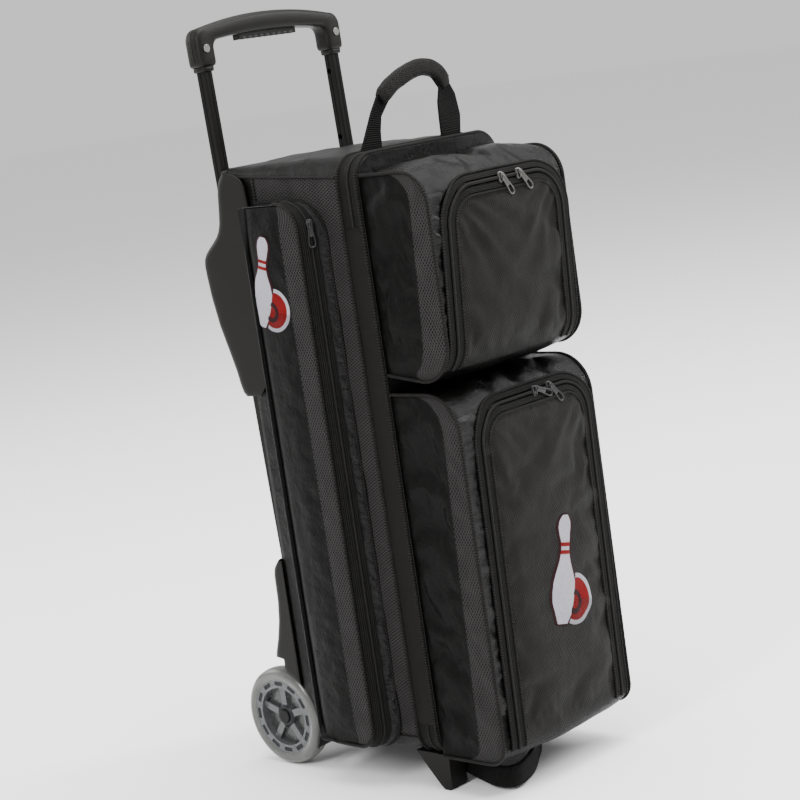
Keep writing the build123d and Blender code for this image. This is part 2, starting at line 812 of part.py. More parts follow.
def pull_tab(top, normal):
    """Adds a pull tab that hangs down from `top`, with a slot near its free end."""
    with BuildSketch(Plane(origin=top, x_dir=Vector(0, 0, 1), z_dir=normal)) as outline:
        with Locations((-pull_length / 2, 0)):
            RectangleRounded(pull_length, pull_width, 1.6)
        with Locations((-pull_length + 6, 0)):
            RectangleRounded(7, 2.6, 1.2, mode=Mode.SUBTRACT)
    extrude(outline.sketch, amount=pull_thick)


front_normal = Vector(0, -1, 0)
right_normal = Vector(1, 0, 0)
pocket_run = Vector(pocket_x - (mid_x - body_half - 0.2), pocket_front_high - pocket_front_low, 0)
pocket_normal = Vector(-pocket_run.Y, pocket_run.X, 0).normalized()
pocket_seam = Vector(pocket_x, pocket_front_high, 690) - pocket_run * 0.45
pouch_slider_y = pouch_face - face_gap
slider_spots = {
    "upper_left": (Vector(mid_x + 2, pouch_slider_y, 708), front_normal),
    "upper_right": (Vector(mid_x + 34, pouch_slider_y, 708), front_normal),
    "lower_left": (Vector(mid_x + 14, pouch_slider_y, 456), front_normal),
    "lower_right": (Vector(mid_x + 44, pouch_slider_y, 456), front_normal),
    "door": (Vector(mid_x + body_half + face_gap, -94, 640), right_normal),
    "pocket": (pocket_seam + pocket_normal * face_gap, pocket_normal),
}
for spot_name, (centre, normal) in slider_spots.items():
    with BuildPart() as slider:
        slider_block(centre, normal)
    save(slider, f"{spot_name}_slider")
    with BuildPart() as pull:
        pull_tab(centre + normal * (slider_depth - pull_thick) + Vector(0, 0, 2), normal)
    save(pull, f"{spot_name}_pull")
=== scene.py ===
"""Rolling bowling bag: the visual model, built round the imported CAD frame.

Lengths in this file are millimetres; x is measured from the bag's midplane. place() turns them into the
frame's metres.
"""
import math

import bmesh
import bpy
import numpy as np
from mathutils import Matrix, Vector, noise
from mathutils.bvhtree import BVHTree


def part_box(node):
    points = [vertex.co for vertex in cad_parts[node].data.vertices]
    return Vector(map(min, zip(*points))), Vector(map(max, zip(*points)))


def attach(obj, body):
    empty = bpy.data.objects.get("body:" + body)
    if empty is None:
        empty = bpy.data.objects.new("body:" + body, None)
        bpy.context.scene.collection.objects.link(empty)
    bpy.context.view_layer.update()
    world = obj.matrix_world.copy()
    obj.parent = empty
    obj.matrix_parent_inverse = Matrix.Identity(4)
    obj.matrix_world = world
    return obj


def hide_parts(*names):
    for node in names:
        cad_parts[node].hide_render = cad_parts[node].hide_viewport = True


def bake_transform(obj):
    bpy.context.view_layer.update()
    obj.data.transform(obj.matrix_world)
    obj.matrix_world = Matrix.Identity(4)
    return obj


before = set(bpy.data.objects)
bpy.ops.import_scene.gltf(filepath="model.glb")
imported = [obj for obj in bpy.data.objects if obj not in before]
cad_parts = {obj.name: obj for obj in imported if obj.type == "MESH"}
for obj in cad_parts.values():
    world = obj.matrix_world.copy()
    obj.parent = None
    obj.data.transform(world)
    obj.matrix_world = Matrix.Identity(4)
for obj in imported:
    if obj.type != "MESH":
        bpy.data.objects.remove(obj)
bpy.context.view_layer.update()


# ------------------------------------------------------------------ where things are
def node_box(name):
    """Lowest and highest corner of a CAD node, in millimetres."""
    return [Vector(corner) * 1000 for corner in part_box(name)]


cover_low, cover_high = node_box("outer_cover")
MID = (cover_low.x + cover_high.x) / 2
HALF = (cover_high.x - cover_low.x) / 2
BOTTOM, TOP = cover_low.z, cover_high.z
FRONT, REAR = cover_low.y, cover_high.y
DOOR_FACE = node_box("door_board")[0].y
CORNER = 30.0                  # radius of the body's corners at the door
REAR_CORNER = 13.0
BODY_WELT_Y = FRONT + 16
DOOR_WELT_Y = DOOR_FACE + 2
HINGE_BAND_TOP = 688.0
BACK_SEAM_Y = 56.0
WHEEL_LOW, WHEEL_HIGH = node_box("left_tyre")
WHEEL_CENTRE = (WHEEL_LOW + WHEEL_HIGH) / 2
WHEEL_RADIUS = (WHEEL_HIGH.z - WHEEL_LOW.z) / 2
HANDLE_LEAN = math.radians(1.8)
FORWARD, UP, RIGHT, LEFT = Vector((0, -1, 0)), Vector((0, 0, 1)), Vector((1, 0, 0)), Vector((-1, 0, 0))
SIDES = (("left", -1), ("right", 1))
UV_UNIT = 100.0                # millimetres in one unit of a texture coordinate

# the body that a piece rides on, and a slot name, where many pieces share them
BAG, DOOR = ("bag", "cover_fabric"), ("door", "cover_fabric")
SIDE_PANEL = ("side_panel", "panel_fabric")


def place(point):
    return ((point[0] + MID) / 1000, point[1] / 1000, point[2] / 1000)


# ------------------------------------------------------------------ materials
class Net:
    """A material's nodes. Inputs are given by name, as a value or as another node's output."""

    def __init__(self, name):
        self.material = bpy.data.materials.new(name)
        self.material.use_nodes = True
        self.tree = self.material.node_tree
        self.shader = self.tree.nodes["Principled BSDF"]

    def add(self, kind, settings=None, **inputs):
        node = self.tree.nodes.new("ShaderNode" + kind)
        for key, value in (settings or {}).items():
            setattr(node, key, value)
        for key, value in inputs.items():
            self.feed(node, key, value)
        return node

    def feed(self, node, key, value):
        """Sets or connects an input: its name with _ for each space, or i and its number."""
        socket = node.inputs[int(key[1:]) if key[0] == "i" and key[1:].isdigit() else key.replace("_", " ")]
        if isinstance(value, bpy.types.NodeSocket):
            self.tree.links.new(value, socket)
        else:
            socket.default_value = value

    def math(self, operation, a, b=0.0):
        return self.add("Math", {"operation": operation}, i0=a, i1=b).outputs[0]

    def noise(self, vector, scale, detail=4.0, rough=0.55):
        node = self.add("TexNoise", Vector=vector, Scale=scale, Detail=detail, Roughness=rough)
        return node.outputs["Fac"]

    def mix(self, factor, a, b):
        node = self.add("Mix", {"data_type": "RGBA"}, i0=factor, i6=(*a, 1), i7=(*b, 1))
        return node.outputs[2]

    def remap(self, value, low, high):
        return self.add("MapRange", Value=value, To_Min=low, To_Max=high).outputs[0]

    def bump(self, height, distance, strength=1.0, under=None):
        node = self.add("Bump", Height=height, Strength=strength, Distance=distance)
        if under is not None:
            self.feed(node, "Normal", under)
        return node.outputs[0]

    def uv(self):
        """The surface coordinates in millimetres, across and along."""
        node = self.add("UVMap", {"uv_map": "UVMap"})
        scaled = self.add("VectorMath", {"operation": "SCALE"}, i0=node.outputs[0], Scale=UV_UNIT)
        parts = self.add("SeparateXYZ", i0=scaled.outputs[0])
        return parts.outputs[0], parts.outputs[1]

    def place_mm(self):
        node = self.add("TexCoord")
        scaled = self.add("VectorMath", {"operation": "SCALE"}, i0=node.outputs["Object"], Scale=1000.0)
        return scaled.outputs[0]

    def wave(self, value, pitch):
        """0 to 1 and back, once every pitch millimetres."""
        turn = self.math("MULTIPLY", value, 2 * math.pi / pitch)
        node = self.add("Math", {"operation": "MULTIPLY_ADD"}, i0=self.math("SINE", turn), i1=0.5, i2=0.5)
        return node.outputs[0]

    def finish(self, colour, roughness, **inputs):
        for key, value in {"Base_Color": colour, "Roughness": roughness, **inputs}.items():
            self.feed(self.shader, key, value)
        return self.material


def nylon(name, dark, light, gloss, ripple, shine=0.10):
    """Coated plain-weave nylon: a fine grid of threads, soft creases and an uneven sheen."""
    net = Net(name)
    across, along = net.uv()
    spot = net.place_mm()
    cloud = net.noise(spot, 0.018, 5)
    weave = net.math("MULTIPLY", net.wave(across, 0.9), net.wave(along, 0.9))
    crease = net.noise(spot, 0.05, 6, 0.6)
    fine = net.noise(spot, 0.35, 3)
    normal = net.bump(weave, 0.00012)
    normal = net.bump(fine, 0.0003, 0.5, normal)
    normal = net.bump(crease, ripple, 0.8, normal)
    return net.finish(net.mix(cloud, dark, light), net.remap(cloud, gloss - 0.06, gloss + 0.08),
                      Specular_IOR_Level=shine, Normal=normal)


def dobby(name, pitch, dark, light, contrast=1.0):
    """A figured weave: raised threads cross on the diagonal and leave small dark diamonds."""
    net = Net(name)
    across, along = net.uv()
    spot = net.place_mm()
    one = net.wave(net.math("ADD", across, net.math("MULTIPLY", along, 0.62)), pitch)
    two = net.wave(net.math("SUBTRACT", across, net.math("MULTIPLY", along, 0.62)), pitch)
    figure = net.math("MAXIMUM", net.math("POWER", one, 3.5), net.math("POWER", two, 3.5))
    worn = net.noise(spot, 0.03, 5)
    shade = net.math("MULTIPLY", figure, net.remap(worn, 0.55 * contrast, 1.25 * contrast))
    normal = net.bump(figure, 0.0004, 0.8)
    normal = net.bump(net.noise(spot, 0.06, 5), 0.003, 0.6, normal)
    return net.finish(net.mix(shade, dark, light), net.remap(figure, 0.62, 0.44),
                      Specular_IOR_Level=0.06, Sheen_Weight=0.02, Normal=normal)


def ribbed(name, pitch, dark, light, along_ribs=False, depth=0.0005, gloss=0.55):
    """Woven tape or webbing with ribs along it or across it."""
    net = Net(name)
    across, along = net.uv()
    ribs = net.wave(across if along_ribs else along, pitch)
    weft = net.wave(along if along_ribs else across, 1.1)
    height = net.math("ADD", ribs, net.math("MULTIPLY", weft, 0.35))
    wear = net.noise(net.place_mm(), 0.08, 4)
    return net.finish(net.mix(net.math("MULTIPLY", ribs, wear), dark, light),
                      net.remap(wear, gloss - 0.08, gloss + 0.12),
                      Specular_IOR_Level=0.07, Normal=net.bump(height, depth))


def moulded(name, dark, light, gloss, grain=0.00012, grain_size=1.4):
    """Moulded plastic with a fine grain and faint handling marks."""
    net = Net(name)
    spot = net.place_mm()
    cloud = net.noise(spot, 0.02, 4)
    pits = net.noise(spot, grain_size, 2, 0.7)
    return net.finish(net.mix(cloud, dark, light), net.remap(cloud, gloss - 0.07, gloss + 0.07),
                      Specular_IOR_Level=0.11, Normal=net.bump(pits, grain))


def metal(name, dark, light, gloss, metallic=1.0):
    """Metal brushed along its height."""
    net = Net(name)
    spot = net.place_mm()
    stretched = net.add("VectorMath", {"operation": "MULTIPLY"}, i0=spot, i1=(1.0, 1.0, 0.08)).outputs[0]
    brush = net.noise(stretched, 1.2, 3)
    return net.finish(net.mix(brush, dark, light), net.remap(brush, gloss - 0.05, gloss + 0.08),
                      Metallic=metallic, Normal=net.bump(brush, 0.00004))


def clear_plastic(name, dark, light, gloss, haze):
    """Soft grey polymer that light gets a little way into."""
    net = Net(name)
    cloud = net.noise(net.place_mm(), 0.06, 5)
    return net.finish(net.mix(cloud, dark, light), net.remap(cloud, gloss - 0.05, gloss + 0.08),
                      Transmission_Weight=haze, IOR=1.45, Specular_IOR_Level=0.35,
                      Normal=net.bump(net.noise(net.place_mm(), 0.4, 3), 0.00008))


def thread(name, dark, light, pitch=0.8):
    """Satin-stitch embroidery: threads side by side."""
    net = Net(name)
    across, along = net.uv()
    lines = net.wave(net.math("ADD", along, net.math("MULTIPLY", across, 0.4)), pitch)
    shade = net.math("MULTIPLY", lines, net.noise(net.place_mm(), 0.3, 3))
    return net.finish(net.mix(shade, dark, light), net.remap(lines, 0.6, 0.5),
                      Specular_IOR_Level=0.08, Normal=net.bump(lines, 0.0003))


NEAR_BLACK = ((0.0012, 0.0011, 0.0010), (0.0026, 0.0024, 0.0022))
BLACK_NYLON = nylon("nylon", *NEAR_BLACK, 0.27, 0.003, 0.11)
DARK_NYLON = nylon("dark_nylon", *NEAR_BLACK, 0.29, 0.003, 0.055)
SHINY_NYLON = nylon("shiny_nylon", (0.0014, 0.0013, 0.0012), (0.0028, 0.0026, 0.0025), 0.22, 0.004, 0.18)
TOP_NYLON = nylon("top_nylon", (0.0030, 0.0028, 0.0026), (0.0055, 0.0051, 0.0048), 0.42, 0.004)
LINING = nylon("lining", (0.004, 0.004, 0.004), (0.007, 0.007, 0.007), 0.5, 0.003)
SIDE_DOBBY = dobby("side_dobby", 3.9, (0.0016, 0.0015, 0.0015), (0.031, 0.0292, 0.0288))
FLAP_DOBBY = dobby("flap_dobby", 3.1, (0.0014, 0.0013, 0.0012), (0.0165, 0.0153, 0.0143), 0.9)
BAND_TWILL = ribbed("band_twill", 1.4, (0.004, 0.0036, 0.0032), (0.0085, 0.0075, 0.0066), False, 0.0002, 0.45)
ZIP_TAPE = ribbed("zip_tape", 2.4, (0.0020, 0.0019, 0.0018), (0.014, 0.0131, 0.0122), True, 0.0006, 0.5)
WEBBING = ribbed("webbing", 3.0, (0.0022, 0.0021, 0.0020), (0.011, 0.0102, 0.0098), False, 0.0009, 0.6)
WELT = ribbed("welt", 3.4, (0.0025, 0.0023, 0.0022), (0.022, 0.020, 0.019), False, 0.0007, 0.42)
COIL = moulded("coil", (0.0035, 0.0032, 0.0030), (0.009, 0.0084, 0.0078), 0.62, 0.00003)
STITCH = thread("stitch", (0.010, 0.0095, 0.009), (0.040, 0.038, 0.036), 0.5)
SHELL = moulded("shell_plastic", (0.0042, 0.0038, 0.0034), (0.0065, 0.0060, 0.0054), 0.44)
GRIP = moulded("grip_plastic", (0.005, 0.0046, 0.0042), (0.008, 0.0074, 0.0068), 0.40)
FOAM = moulded("foam", (0.005, 0.005, 0.0055), (0.009, 0.009, 0.0095), 0.9, 0.0006, 0.5)
BOARD = moulded("board", (0.005, 0.005, 0.005), (0.009, 0.009, 0.009), 0.6)
TUBE = moulded("tube_coat", (0.0035, 0.0032, 0.0030), (0.0060, 0.0056, 0.0052), 0.3, 0.00003)
STEEL = metal("bright_steel", (0.11, 0.107, 0.102), (0.21, 0.205, 0.196), 0.34)
ZIP_METAL = metal("zip_enamel", (0.05, 0.048, 0.045), (0.12, 0.116, 0.11), 0.32, 0.85)
ZIP_BLACK = metal("zip_black", (0.004, 0.004, 0.004), (0.012, 0.012, 0.012), 0.3, 0.3)
TYRE = clear_plastic("tyre_polymer", (0.100, 0.102, 0.095), (0.160, 0.163, 0.152), 0.18, 0.4)
WHEEL = clear_plastic("wheel_polymer", (0.080, 0.085, 0.087), (0.135, 0.142, 0.145), 0.14, 0.45)
# the hub washers' own black, and the painted shade that fills the wheels' slots
WHEEL_BLACK_AND_SLOT_SHADE = moulded("wheel_dark", (0.008, 0.009, 0.010), (0.018, 0.019, 0.021), 0.3)
WHEEL_WEB = clear_plastic("wheel_web", (0.040, 0.042, 0.040), (0.070, 0.073, 0.070), 0.25, 0.4)
WHITE_THREAD = thread("white_thread", (0.26, 0.255, 0.285), (0.50, 0.49, 0.54))
RED_THREAD = thread("red_thread", (0.11, 0.0005, 0.0008), (0.24, 0.0012, 0.0018))
WINE_THREAD = thread("wine_thread", (0.012, 0.001, 0.002), (0.030, 0.003, 0.005))


# ------------------------------------------------------------------ numbers and curves
def unit(v):
    v = Vector(v)
    return v / max(v.length, 1e-9)


def ease(value):
    value = min(max(value, 0.0), 1.0)
    return value * value * (3 - 2 * value)


def folds(u, v, seed, size, angle=0.0, stretch=3.0):
    """Cloth-like ridges, -1 to 1, long in the direction of angle."""
    c, s = math.cos(angle), math.sin(angle)
    a, b = (u * c + v * s) / (size * stretch), (-u * s + v * c) / size
    low = noise.noise(Vector((a, b, seed)))
    high = noise.noise(Vector((a * 2.1, b * 2.3, seed + 9.1)))
    ridge = 1 - 2 * abs(noise.noise(Vector((a * 0.8, b * 1.1, seed + 4.7))))
    return 0.9 * low + 0.35 * high + 0.45 * (ridge - 0.6)


def corner_cut(radius, reach):
    """How far a round corner stands in from its side, at a distance from the corner's end."""
    rest = min(max(radius - reach, 0.0), radius)
    return radius - math.sqrt(radius ** 2 - rest ** 2)


def stops(start, *spans):
    """Evenly spaced values from start through each span's (value, steps)."""
    found = [start]
    for value, steps in spans:
        found += list(np.linspace(found[-1], value, steps + 1))[1:]
    return found


def tangents(path, closed=False):
    count = len(path)
    found = []
    for i in range(count):
        before = path[(i - 1) % count] if closed else path[max(i - 1, 0)]
        after = path[(i + 1) % count] if closed else path[min(i + 1, count - 1)]
        found.append(unit(Vector(after) - Vector(before)))
    return found


def marks_along(path):
    """The distance of each point from the path's start."""
    steps = [(Vector(b) - Vector(a)).length for a, b in zip(path, path[1:])]
    return np.concatenate([[0.0], np.cumsum(steps)])


def at_marks(values, marks, wanted):
    """Vectors given at each of marks, interpolated at the wanted distances."""
    columns = [np.interp(wanted, marks, [v[k] for v in values]) for k in range(len(values[0]))]
    return [Vector(c) for c in zip(*columns)]


def resample(path, step, closed=False):
    """The same line with points every step millimetres, as near as divides it evenly."""
    points = [Vector(p) for p in path] + ([Vector(path[0])] if closed else [])
    marks = marks_along(points)
    count = max(2, round(marks[-1] / step))
    made = at_marks(points, marks, np.linspace(0, marks[-1], count + 1))
    return made[:-1] if closed else made


def smooth_curve(points, count, closed=False):
    """A Catmull-Rom curve through flat points, with count steps from each to the next."""
    points = [Vector(p) for p in points]
    padded = [points[-1]] + points + points[:2] if closed else [points[0]] + points + [points[-1]]
    made = []
    for p0, p1, p2, p3 in zip(padded, padded[1:], padded[2:], padded[3:]):
        for k in range(count):
            t = k / count
            made.append(0.5 * (
                2 * p1 + (p2 - p0) * t + (2 * p0 - 5 * p1 + 4 * p2 - p3) * t ** 2
                + (3 * p1 - p0 - 3 * p2 + p3) * t ** 3
            ))
    return made if closed else made + [points[-1]]


def rounded_rect(x0, x1, z0, z1, radii, corner_points):
    """Points round a rectangle, clockwise seen from the front: up the left side, along the top, down the
    right, back along the base. radii are lower left, upper left, upper right, lower right."""
    corners = (
        (x0, z0, 1, 1, radii[0], 270), (x0, z1, 1, -1, radii[1], 180),
        (x1, z1, -1, -1, radii[2], 90), (x1, z0, -1, 1, radii[3], 0),
    )
    points = []
    for x, z, dx, dz, radius, start in corners:
        for k in range(corner_points + 1):
            turn = math.radians(start - 90 * k / corner_points)
            points.append(Vector((x + radius * (dx + math.cos(turn)), z + radius * (dz + math.sin(turn)))))
    return points


def loop_normals(loop):
    """Outward normals of a loop of (x, z) points that runs clockwise seen from the front."""
    return [Vector((-tangent[1], tangent[0])) for tangent in tangents(loop, True)]


def dense(loop, tall=64, short=24):
    """Adds points along the straight sides of a loop, the same number for every loop of its kind."""
    made = []
    for point, after in zip(loop, loop[1:] + loop[:1]):
        made.append(point)
        if (after - point).length > 60:
            count = tall if abs(after.y - point.y) > 300 else short
            made += [point.lerp(after, k / count) for k in range(1, count)]
    return made


def ring(radius, count=8, out=0.0, flat=1.0):
    """A round section for strip(), moved outwards by out and flattened."""
    turns = [2 * math.pi * k / count for k in range(count)]
    return [(radius * math.cos(t), out - radius * flat * math.sin(t)) for t in turns]


def super_ring(count, power):
    """A square section with round corners, rounder as power nears 1."""
    made = []
    for k in range(count):
        turn = 2 * math.pi * k / count
        c, s = math.cos(turn), math.sin(turn)
        made.append((math.copysign(abs(c) ** power, c), math.copysign(abs(s) ** power, s)))
    return made


def tape_section(half, ridge=0.7, high=0.6, edge=-0.6, foot=0.9, deep=-1.6):
    """A zip tape's section for strip(): three ribs on a flat base."""
    side = [(ridge / 2, 0.1), (ridge, high), (1, edge)]
    outline = [(-a, n) for a, n in side[::-1]] + [(0, high)] + side + [(foot, deep), (-foot, deep)]
    return [(a * half, n) for a, n in outline]


# ------------------------------------------------------------------ mesh helpers
def finish_piece(piece, body, slot, replaces=(), blend=None):
    if blend is None:
        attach(piece, body)
    else:
        place(blend[1])
        place(blend[2])
        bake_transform(piece)
    if replaces:
        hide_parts(*replaces)
    return piece


def mesh_piece(name, points, faces, materials, picks=None, uvs=None):
    """A smooth mesh object. picks gives each face's material, uvs each face corner's millimetres."""
    mesh = bpy.data.meshes.new(name)
    mesh.from_pydata([place(p) for p in points], [], faces)
    for material in materials:
        mesh.materials.append(material)
    if picks is not None:
        mesh.polygons.foreach_set("material_index", picks)
    layer = mesh.uv_layers.new(name="UVMap")
    if uvs is not None:
        layer.data.foreach_set("uv", np.array([c for face in uvs for c in face], float).ravel() / UV_UNIT)
    mesh.polygons.foreach_set("use_smooth", [True] * len(mesh.polygons))
    mesh.update()
    piece = bpy.data.objects.new(name, mesh)
    bpy.context.scene.collection.objects.link(piece)
    return piece


def grid(name, rows, materials, pick=None, skip=None, closed=False, flip=False):
    """A surface through rows of points. pick(row, column) is a face's material, skip() leaves one out."""
    wide = len(rows[0])
    us = [marks_along(list(row) + ([row[0]] if closed else [])) for row in rows]
    vs = [0.0]
    for upper, lower in zip(rows, rows[1:]):
        columns = (0, wide // 2, wide - 1)
        vs.append(vs[-1] + max((Vector(upper[k]) - Vector(lower[k])).length for k in columns))
    faces, picks, uvs = [], [], []
    for i in range(len(rows) - 1):
        for j in range(wide if closed else wide - 1):
            if skip and skip(i, j):
                continue
            k = (j + 1) % wide
            corners = [(i, j, j), (i, k, j + 1), (i + 1, k, j + 1), (i + 1, j, j)]
            if flip:
                corners.reverse()
            faces.append([r * wide + c for r, c, _ in corners])
            uvs.append([(us[r][u], vs[r]) for r, _, u in corners])
            picks.append(pick(i, j) if pick else 0)
    return mesh_piece(name, [p for row in rows for p in row], faces, materials, picks, uvs)


def strip(name, path, normals, section, material, closed=False):
    """Sweeps a closed section, a list of (across, out) millimetres, along path. Across is tangent x normal;
    normals is a list, or one normal for the whole path."""
    rows = []
    if isinstance(normals, Vector):
        normals = [normals] * len(path)
    for point, normal, tangent in zip(path, normals, tangents(path, closed)):
        out = unit(Vector(normal) - tangent * Vector(normal).dot(tangent))
        across = tangent.cross(out)
        rows.append([Vector(point) + across * a + out * n for a, n in section])
    if closed:
        rows.append(rows[0])
    return grid(name, rows, [material], closed=True)


def coil_piece(name, path, normals, radius=2.1, pitch=2.8):
    """A zip's closed coil: a round bead whose turns show as ridges."""
    fine = resample(path, pitch / 4)
    marks = marks_along(path)
    outs = at_marks(normals, marks, np.linspace(0, marks[-1], len(fine)))
    rows = []
    for index, (point, normal, tangent) in enumerate(zip(fine, outs, tangents(fine))):
        out = unit(normal - tangent * normal.dot(tangent))
        across = tangent.cross(out)
        swell = radius * (1.0 if index % 4 in (0, 1) else 0.74)
        rows.append([point + across * a * swell * 1.15 + out * n * swell for a, n in ring(1, 6)])
    return grid(name, rows, [COIL], closed=True)


def stitch_row(name, lines, length=2.6, gap=1.5, radius=0.42):
    """Rows of stitches, each pointed at both ends: lines is a list of (path, normals or one normal)."""
    tip_uv, side_uv = [(0, 0), (0.3, 0), (0.3, 0.3)], [(0, 0), (length, 0), (length, 1), (0, 1)]
    points, faces, uvs = [], [], []
    for path, normals in lines:
        marks = marks_along(path)
        starts = np.arange(gap, marks[-1] - length, length + gap)
        ends = zip(at_marks(path, marks, starts), at_marks(path, marks, starts + length))
        one = isinstance(normals, Vector)
        outs = [normals] * len(starts) if one else at_marks(normals, marks, starts)
        for (first, last), normal in zip(ends, outs):
            out = unit(normal)
            side = unit(last - first).cross(out)
            base = len(points)
            points.append(first - out * radius * 0.6)
            for share in (0.28, 0.72):
                centre = first.lerp(last, share) + out * radius * 0.5
                points += [centre + (side * a + out * n) * radius for a, n in ring(1, 4)]
            points.append(last - out * radius * 0.6)
            for k in range(1, 5):
                m = k % 4 + 1
                faces += [(base, base + k, base + m), (base + k, base + 4 + k, base + 4 + m, base + m),
                          (base + 4 + k, base + 9, base + 4 + m)]
                uvs += [tip_uv, side_uv, tip_uv]
    piece = mesh_piece(name, points, faces, [STITCH], None, uvs)
    face_outwards(piece)
    return piece


def face_outwards(piece, weld=False, cap=False):
    """Turns a closed piece's faces outwards, after welding doubled points or filling its open ends."""
    work = bmesh.new()
    work.from_mesh(piece.data)
    if weld:
        bmesh.ops.remove_doubles(work, verts=work.verts, dist=1e-6)
    if cap:
        bmesh.ops.holes_fill(work, edges=[e for e in work.edges if e.is_boundary], sides=0)
    bmesh.ops.recalc_face_normals(work, faces=work.faces)
    work.to_mesh(piece.data)
    work.free()


def modifier(piece, kind, **settings):
    made = piece.modifiers.new(kind.lower(), kind)
    for key, value in settings.items():
        setattr(made, key, value)
    return made


def thicken(piece, depth, lining=None):
    """Gives a fabric its thickness, inwards, with the lining on its inner side."""
    offset = 0
    if lining is not None:
        piece.data.materials.append(lining)
        offset = len(piece.data.materials) - 1
    modifier(piece, "SOLIDIFY", thickness=depth / 1000, offset=-1.0, material_offset=offset,
             material_offset_rim=0, use_even_offset=False)


def soften(piece):
    modifier(piece, "SUBSURF", levels=1, render_levels=1)


def bevel(piece, width, segments, angle, **settings):
    modifier(piece, "BEVEL", width=width / 1000, segments=segments, limit_method="ANGLE",
             angle_limit=math.radians(angle), **settings)


def apply_modifiers(piece):
    graph = bpy.context.evaluated_depsgraph_get()
    made = bpy.data.meshes.new_from_object(piece.evaluated_get(graph), depsgraph=graph)
    made.name = piece.name
    piece.modifiers.clear()
    piece.data = made


def surface_finder(piece):
    """Returns a function that drops a point along an axis onto the finished piece."""
    graph = bpy.context.evaluated_depsgraph_get()
    tree = BVHTree.FromObject(piece, graph)
    shift = piece.matrix_world.copy()
    to_local = shift.inverted()

    def find(point, axis, lift=0.0):
        start = Vector(place(point))
        hit = tree.ray_cast(to_local @ (start + axis * 0.2), -axis, 0.5)[0]
        if hit is None:
            hit = tree.find_nearest(to_local @ start)[0]
        spot = (shift @ hit) * 1000
        return Vector((spot.x - MID, spot.y, spot.z)) + axis * lift

    return find


# ------------------------------------------------------------------ cloth simulation
def pin(piece, rows, weight):
    """Marks the vertices that the simulation holds: weight(row, column) is 1 for one that can't move."""
    group = piece.vertex_groups.new(name="pin")
    wide = len(rows[0])
    for i in range(len(rows)):
        for j in range(wide):
            if weight(i, j) > 0:
                group.add([i * wide + j], weight(i, j), "REPLACE")


def edge_depth(rows, i, j):
    """How many rows or columns a vertex of a grid is from its nearest edge."""
    return min(i, j, len(rows[0]) - 1 - j, len(rows) - 1 - i)


def freedom(piece):
    """The share of its movement that each vertex keeps: none at a pinned seam, more with each row from it."""
    held = np.zeros(len(piece.data.vertices))
    for vertex in piece.data.vertices:
        for member in vertex.groups:
            held[vertex.index] = member.weight
    edges = np.array([edge.vertices[:] for edge in piece.data.edges])
    for _ in range(6):
        spread = held.copy()
        np.maximum.at(spread, edges[:, 0], held[edges[:, 1]] * 0.72)
        np.maximum.at(spread, edges[:, 1], held[edges[:, 0]] * 0.72)
        held = spread
    return (1 - held).reshape(-1, 1)


DRAPE_FRAMES = 16


def drape(pieces, swell, slack, cap=7.0):
    """Lets pinned panels buckle: each is cut a little large for its seams, and pressed from inside.
    No vertex ends up further than cap from where it was drafted."""
    scene = bpy.context.scene
    drafted = [np.array([v.co for v in piece.data.vertices]) for piece in pieces]
    for piece in pieces:
        cloth = modifier(piece, "CLOTH")
        cloth.collision_settings.use_collision = False
        cloth.settings.effector_weights.gravity = 0.0
        for key, value in {
            "quality": 5, "mass": 0.15, "tension_stiffness": 18, "compression_stiffness": 18,
            "shear_stiffness": 6, "bending_stiffness": 6.0, "air_damping": 2.5, "shrink_min": -slack,
            "vertex_group_mass": "pin", "use_pressure": True, "uniform_pressure_force": swell,
        }.items():
            setattr(cloth.settings, key, value)
    for number in range(1, DRAPE_FRAMES + 1):
        scene.frame_set(number)
    graph = bpy.context.evaluated_depsgraph_get()
    limit = cap / 1000
    for piece, before in zip(pieces, drafted):
        step = np.array([v.co for v in piece.evaluated_get(graph).data.vertices]) - before
        size = np.linalg.norm(step, axis=1, keepdims=True)
        step *= np.tanh(size / limit) * limit / np.maximum(size, 1e-9) * freedom(piece)
        piece.modifiers.remove(piece.modifiers["cloth"])
        piece.data.vertices.foreach_set("co", (before + step).ravel())
        piece.data.update()
    scene.frame_set(1)


# ------------------------------------------------------------------ body: the boarded shell of the bag
def body_radius(y):
    """The body's corners are round at the door and sharper towards the back."""
    share = min(max((y - BODY_WELT_Y) / (REAR - BODY_WELT_Y), 0), 1)
    return CORNER + (REAR_CORNER - CORNER) * share


def body_loop(y):
    return dense(rounded_rect(-HALF, HALF, BOTTOM, TOP, [body_radius(y)] * 4, 6))


SEAM_TURN = math.radians(15)


def edge_seam(y, side, level, grow=0.0):
    """Where the side panel of the body meets its top (level 1) or its base (level -1)."""
    radius = body_radius(y)
    x = HALF - radius + (radius + grow) * math.cos(SEAM_TURN)
    rise = radius - (radius + grow) * math.sin(SEAM_TURN)
    return Vector((side * x, y, TOP - rise if level > 0 else BOTTOM + rise))


def body_point(loop_point, normal, y):
    """A point of the cover: creased, puffed a little on top, and cut back round the wheels."""
    x, z = loop_point
    near_edge = min(ease((y - BODY_WELT_Y) / 25), ease((REAR - y) / 25))
    u = z if abs(normal[0]) > 0.5 else x
    puff = 2.2 * near_edge * folds(u, y, 3.1 if x < 0 else 8.4, 34, 0.5, 2.2)
    if normal[1] > 0.7:
        puff += 3.0 * near_edge * (1 - (x / HALF) ** 2)
    point = Vector((x + normal[0] * puff, y, z + normal[1] * puff))
    away = Vector((point.y - WHEEL_CENTRE.y, point.z - WHEEL_CENTRE.z))
    clear = WHEEL_RADIUS + 6
    if abs(x) > 88 and away.length < clear and abs(away[1]) < clear:
        point.y = WHEEL_CENTRE.y - math.sqrt(clear ** 2 - away[1] ** 2)
    return point


